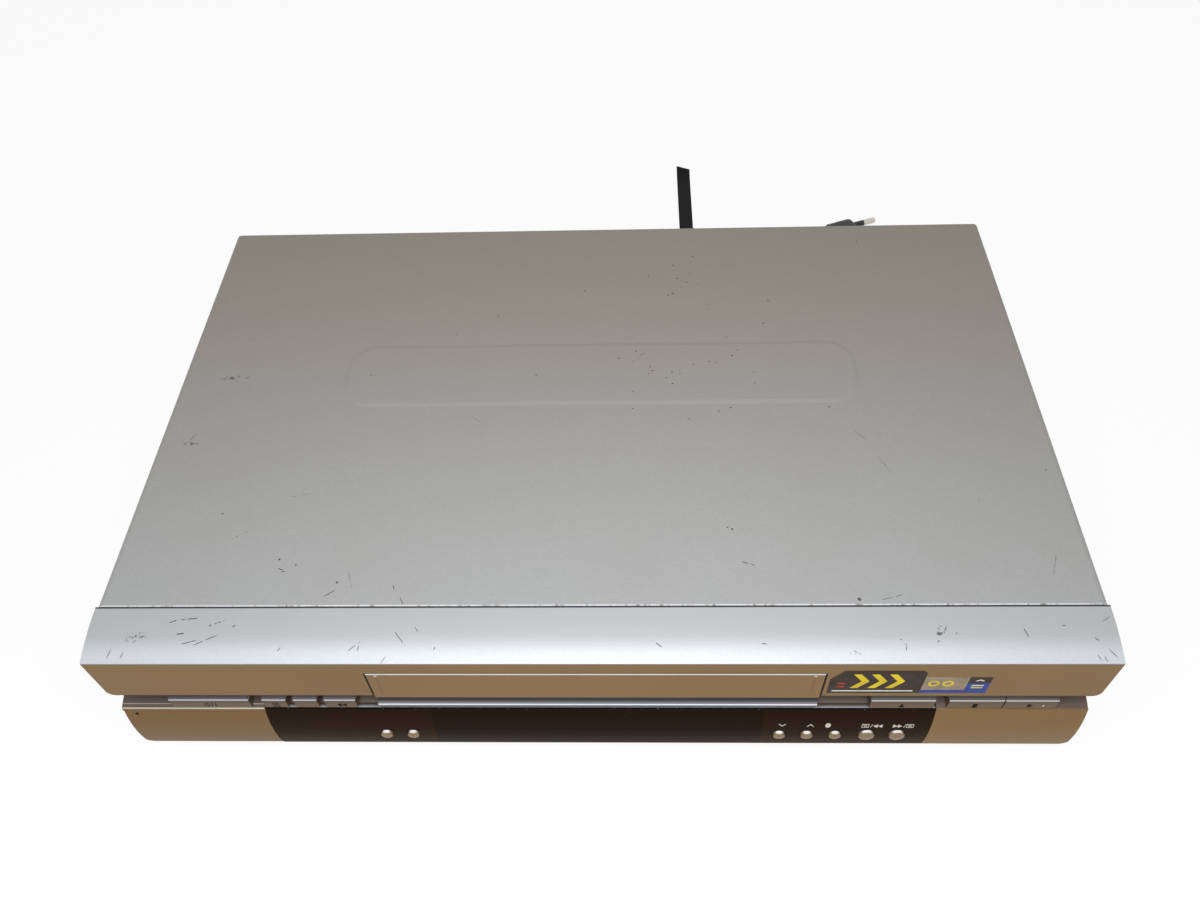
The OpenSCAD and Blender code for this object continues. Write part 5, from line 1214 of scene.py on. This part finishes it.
class RECORDER_OT_screws(bpy.types.Operator):
    """Pan-head screws with a cross recess, in the sides, the rear edge and the deck"""

    bl_idname = "recorder.screws"
    bl_label = "Screws"

    HEAD = [(3.2, 0), (3.2, 0.45), (3.05, 0.8), (2.6, 1.15), (1.95, 1.4)]
    SHANK_R, SHANK, SHANK_DECK = 1.5, 7, 5
    ARM, HALF, DEPTH = 1.45, 0.32, 0.75
    SIDE_Y, SIDE_Z = (-70, 85), 32
    REAR_X, REAR_Y, REAR_Z = (-150, 0, 150), 134, 83
    DECK, DECK_Z = ((-70, -94), (70, -94), (-94, 104), (94, 104)), 19.2

    def screw(self, bm, place, axis, shank):
        """Head rings closed by a top with a cross pocket, and a plain shank."""
        axis = Vector(axis)
        side = axis.orthogonal().normalized()
        up = axis.cross(side)

        def ring(points, height):
            return [bm.verts.new((Vector(place) + side * u + up * v + axis * height) * MM) for u, v in points]

        def wall(low, high):
            for k in range(len(low)):
                bm.faces.new((low[k], low[(k + 1) % len(low)], high[(k + 1) % len(low)], high[k]))

        rings = [ring(disc(r, count=36), h) for r, h in self.HEAD]
        for low, high in zip(rings, rings[1:]):
            wall(low, high)
        bm.faces.new(rings[0])
        a, b = self.ARM, self.HALF
        cross = [(a, -b), (a, b), (b, b), (b, a), (-b, a), (-b, b), (-a, b), (-a, -b), (-b, -b), (-b, -a),
                 (b, -a), (b, -b)]
        mouth = ring(cross, self.HEAD[-1][1])
        floor = ring([(u * 0.7, v * 0.7) for u, v in cross], self.HEAD[-1][1] - self.DEPTH)
        wall(mouth, floor)
        bm.faces.new(floor)
        edges = []
        for row in (rings[-1], mouth):
            for ends in zip([row[-1], *row], row):
                edges.append(bm.edges.get(ends) or bm.edges.new(ends))
        bmesh.ops.triangle_fill(bm, edges=edges, use_beauty=True)
        turned(bm, [(self.SHANK_R, -shank), (self.SHANK_R, 0.02)], place, axis, 20)

    def execute(self, context):
        steel = Finish("screw_steel")
        brush = steel.noise(900, 3)
        rust = steel.noise(260, 4).rise(0.6, 0.8)
        material = steel.surface(Base_Color=steel.mix(rust * 0.4, linear(92, 92, 96), linear(86, 70, 56)),
                                 Metallic=0.8, Roughness=0.32 + brush * 0.2)
        bm = bmesh.new()
        for y in self.SIDE_Y:
            for towards in (-1, 1):
                self.screw(bm, (towards * HALF_W, y, self.SIDE_Z), (towards, 0, 0), self.SHANK)
        for x in self.REAR_X:
            self.screw(bm, (x, self.REAR_Y, self.REAR_Z), (0, 1, 0), self.SHANK)
        for x, y in self.DECK:
            self.screw(bm, (x, y, self.DECK_Z), (0, 0, 1), self.SHANK_DECK)
        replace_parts(piece("cross_screws", bm, "case", "screw_steel", material), "screws")
        return {"FINISHED"}


class RECORDER_PT_panel(bpy.types.Panel):
    """Lists the steps that dress the recorder"""

    bl_idname = "RECORDER_PT_panel"
    bl_label = "Recorder"
    bl_space_type = "VIEW_3D"
    bl_region_type = "UI"
    bl_category = "Recorder"

    def draw(self, context):
        for step in STEPS:
            self.layout.operator(step.bl_idname)
        for group in GROUPS:
            holder = getattr(context.scene, GROUPS[group])
            for name in group.__annotations__:
                self.layout.prop(holder, name)


GROUPS = {RecorderFinishes: "recorder_finishes", RecorderSigns: "recorder_signs",
          RecorderLead: "recorder_lead", RecorderStage: "recorder_stage"}
STEPS = (RECORDER_OT_stage, RECORDER_OT_mains_lead, RECORDER_OT_cover, RECORDER_OT_front, RECORDER_OT_window,
         RECORDER_OT_doors, RECORDER_OT_buttons, RECORDER_OT_signs, RECORDER_OT_sticker, RECORDER_OT_insides,
         RECORDER_OT_rear, RECORDER_OT_screws)


def register():
    for group, name in GROUPS.items():
        bpy.utils.register_class(group)
        setattr(bpy.types.Scene, name, bpy.props.PointerProperty(type=group))
    for cls in (*STEPS, RECORDER_PT_panel):
        bpy.utils.register_class(cls)


def unregister():
    for cls in reversed((*STEPS, RECORDER_PT_panel)):
        bpy.utils.unregister_class(cls)
    for group, name in GROUPS.items():
        delattr(bpy.types.Scene, name)
        bpy.utils.unregister_class(group)


def main():
    register()
    for step in STEPS:
        family, name = step.bl_idname.split(".")
        getattr(getattr(bpy.ops, family), name)()
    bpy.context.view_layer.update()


if __name__ == "__main__":
    main()
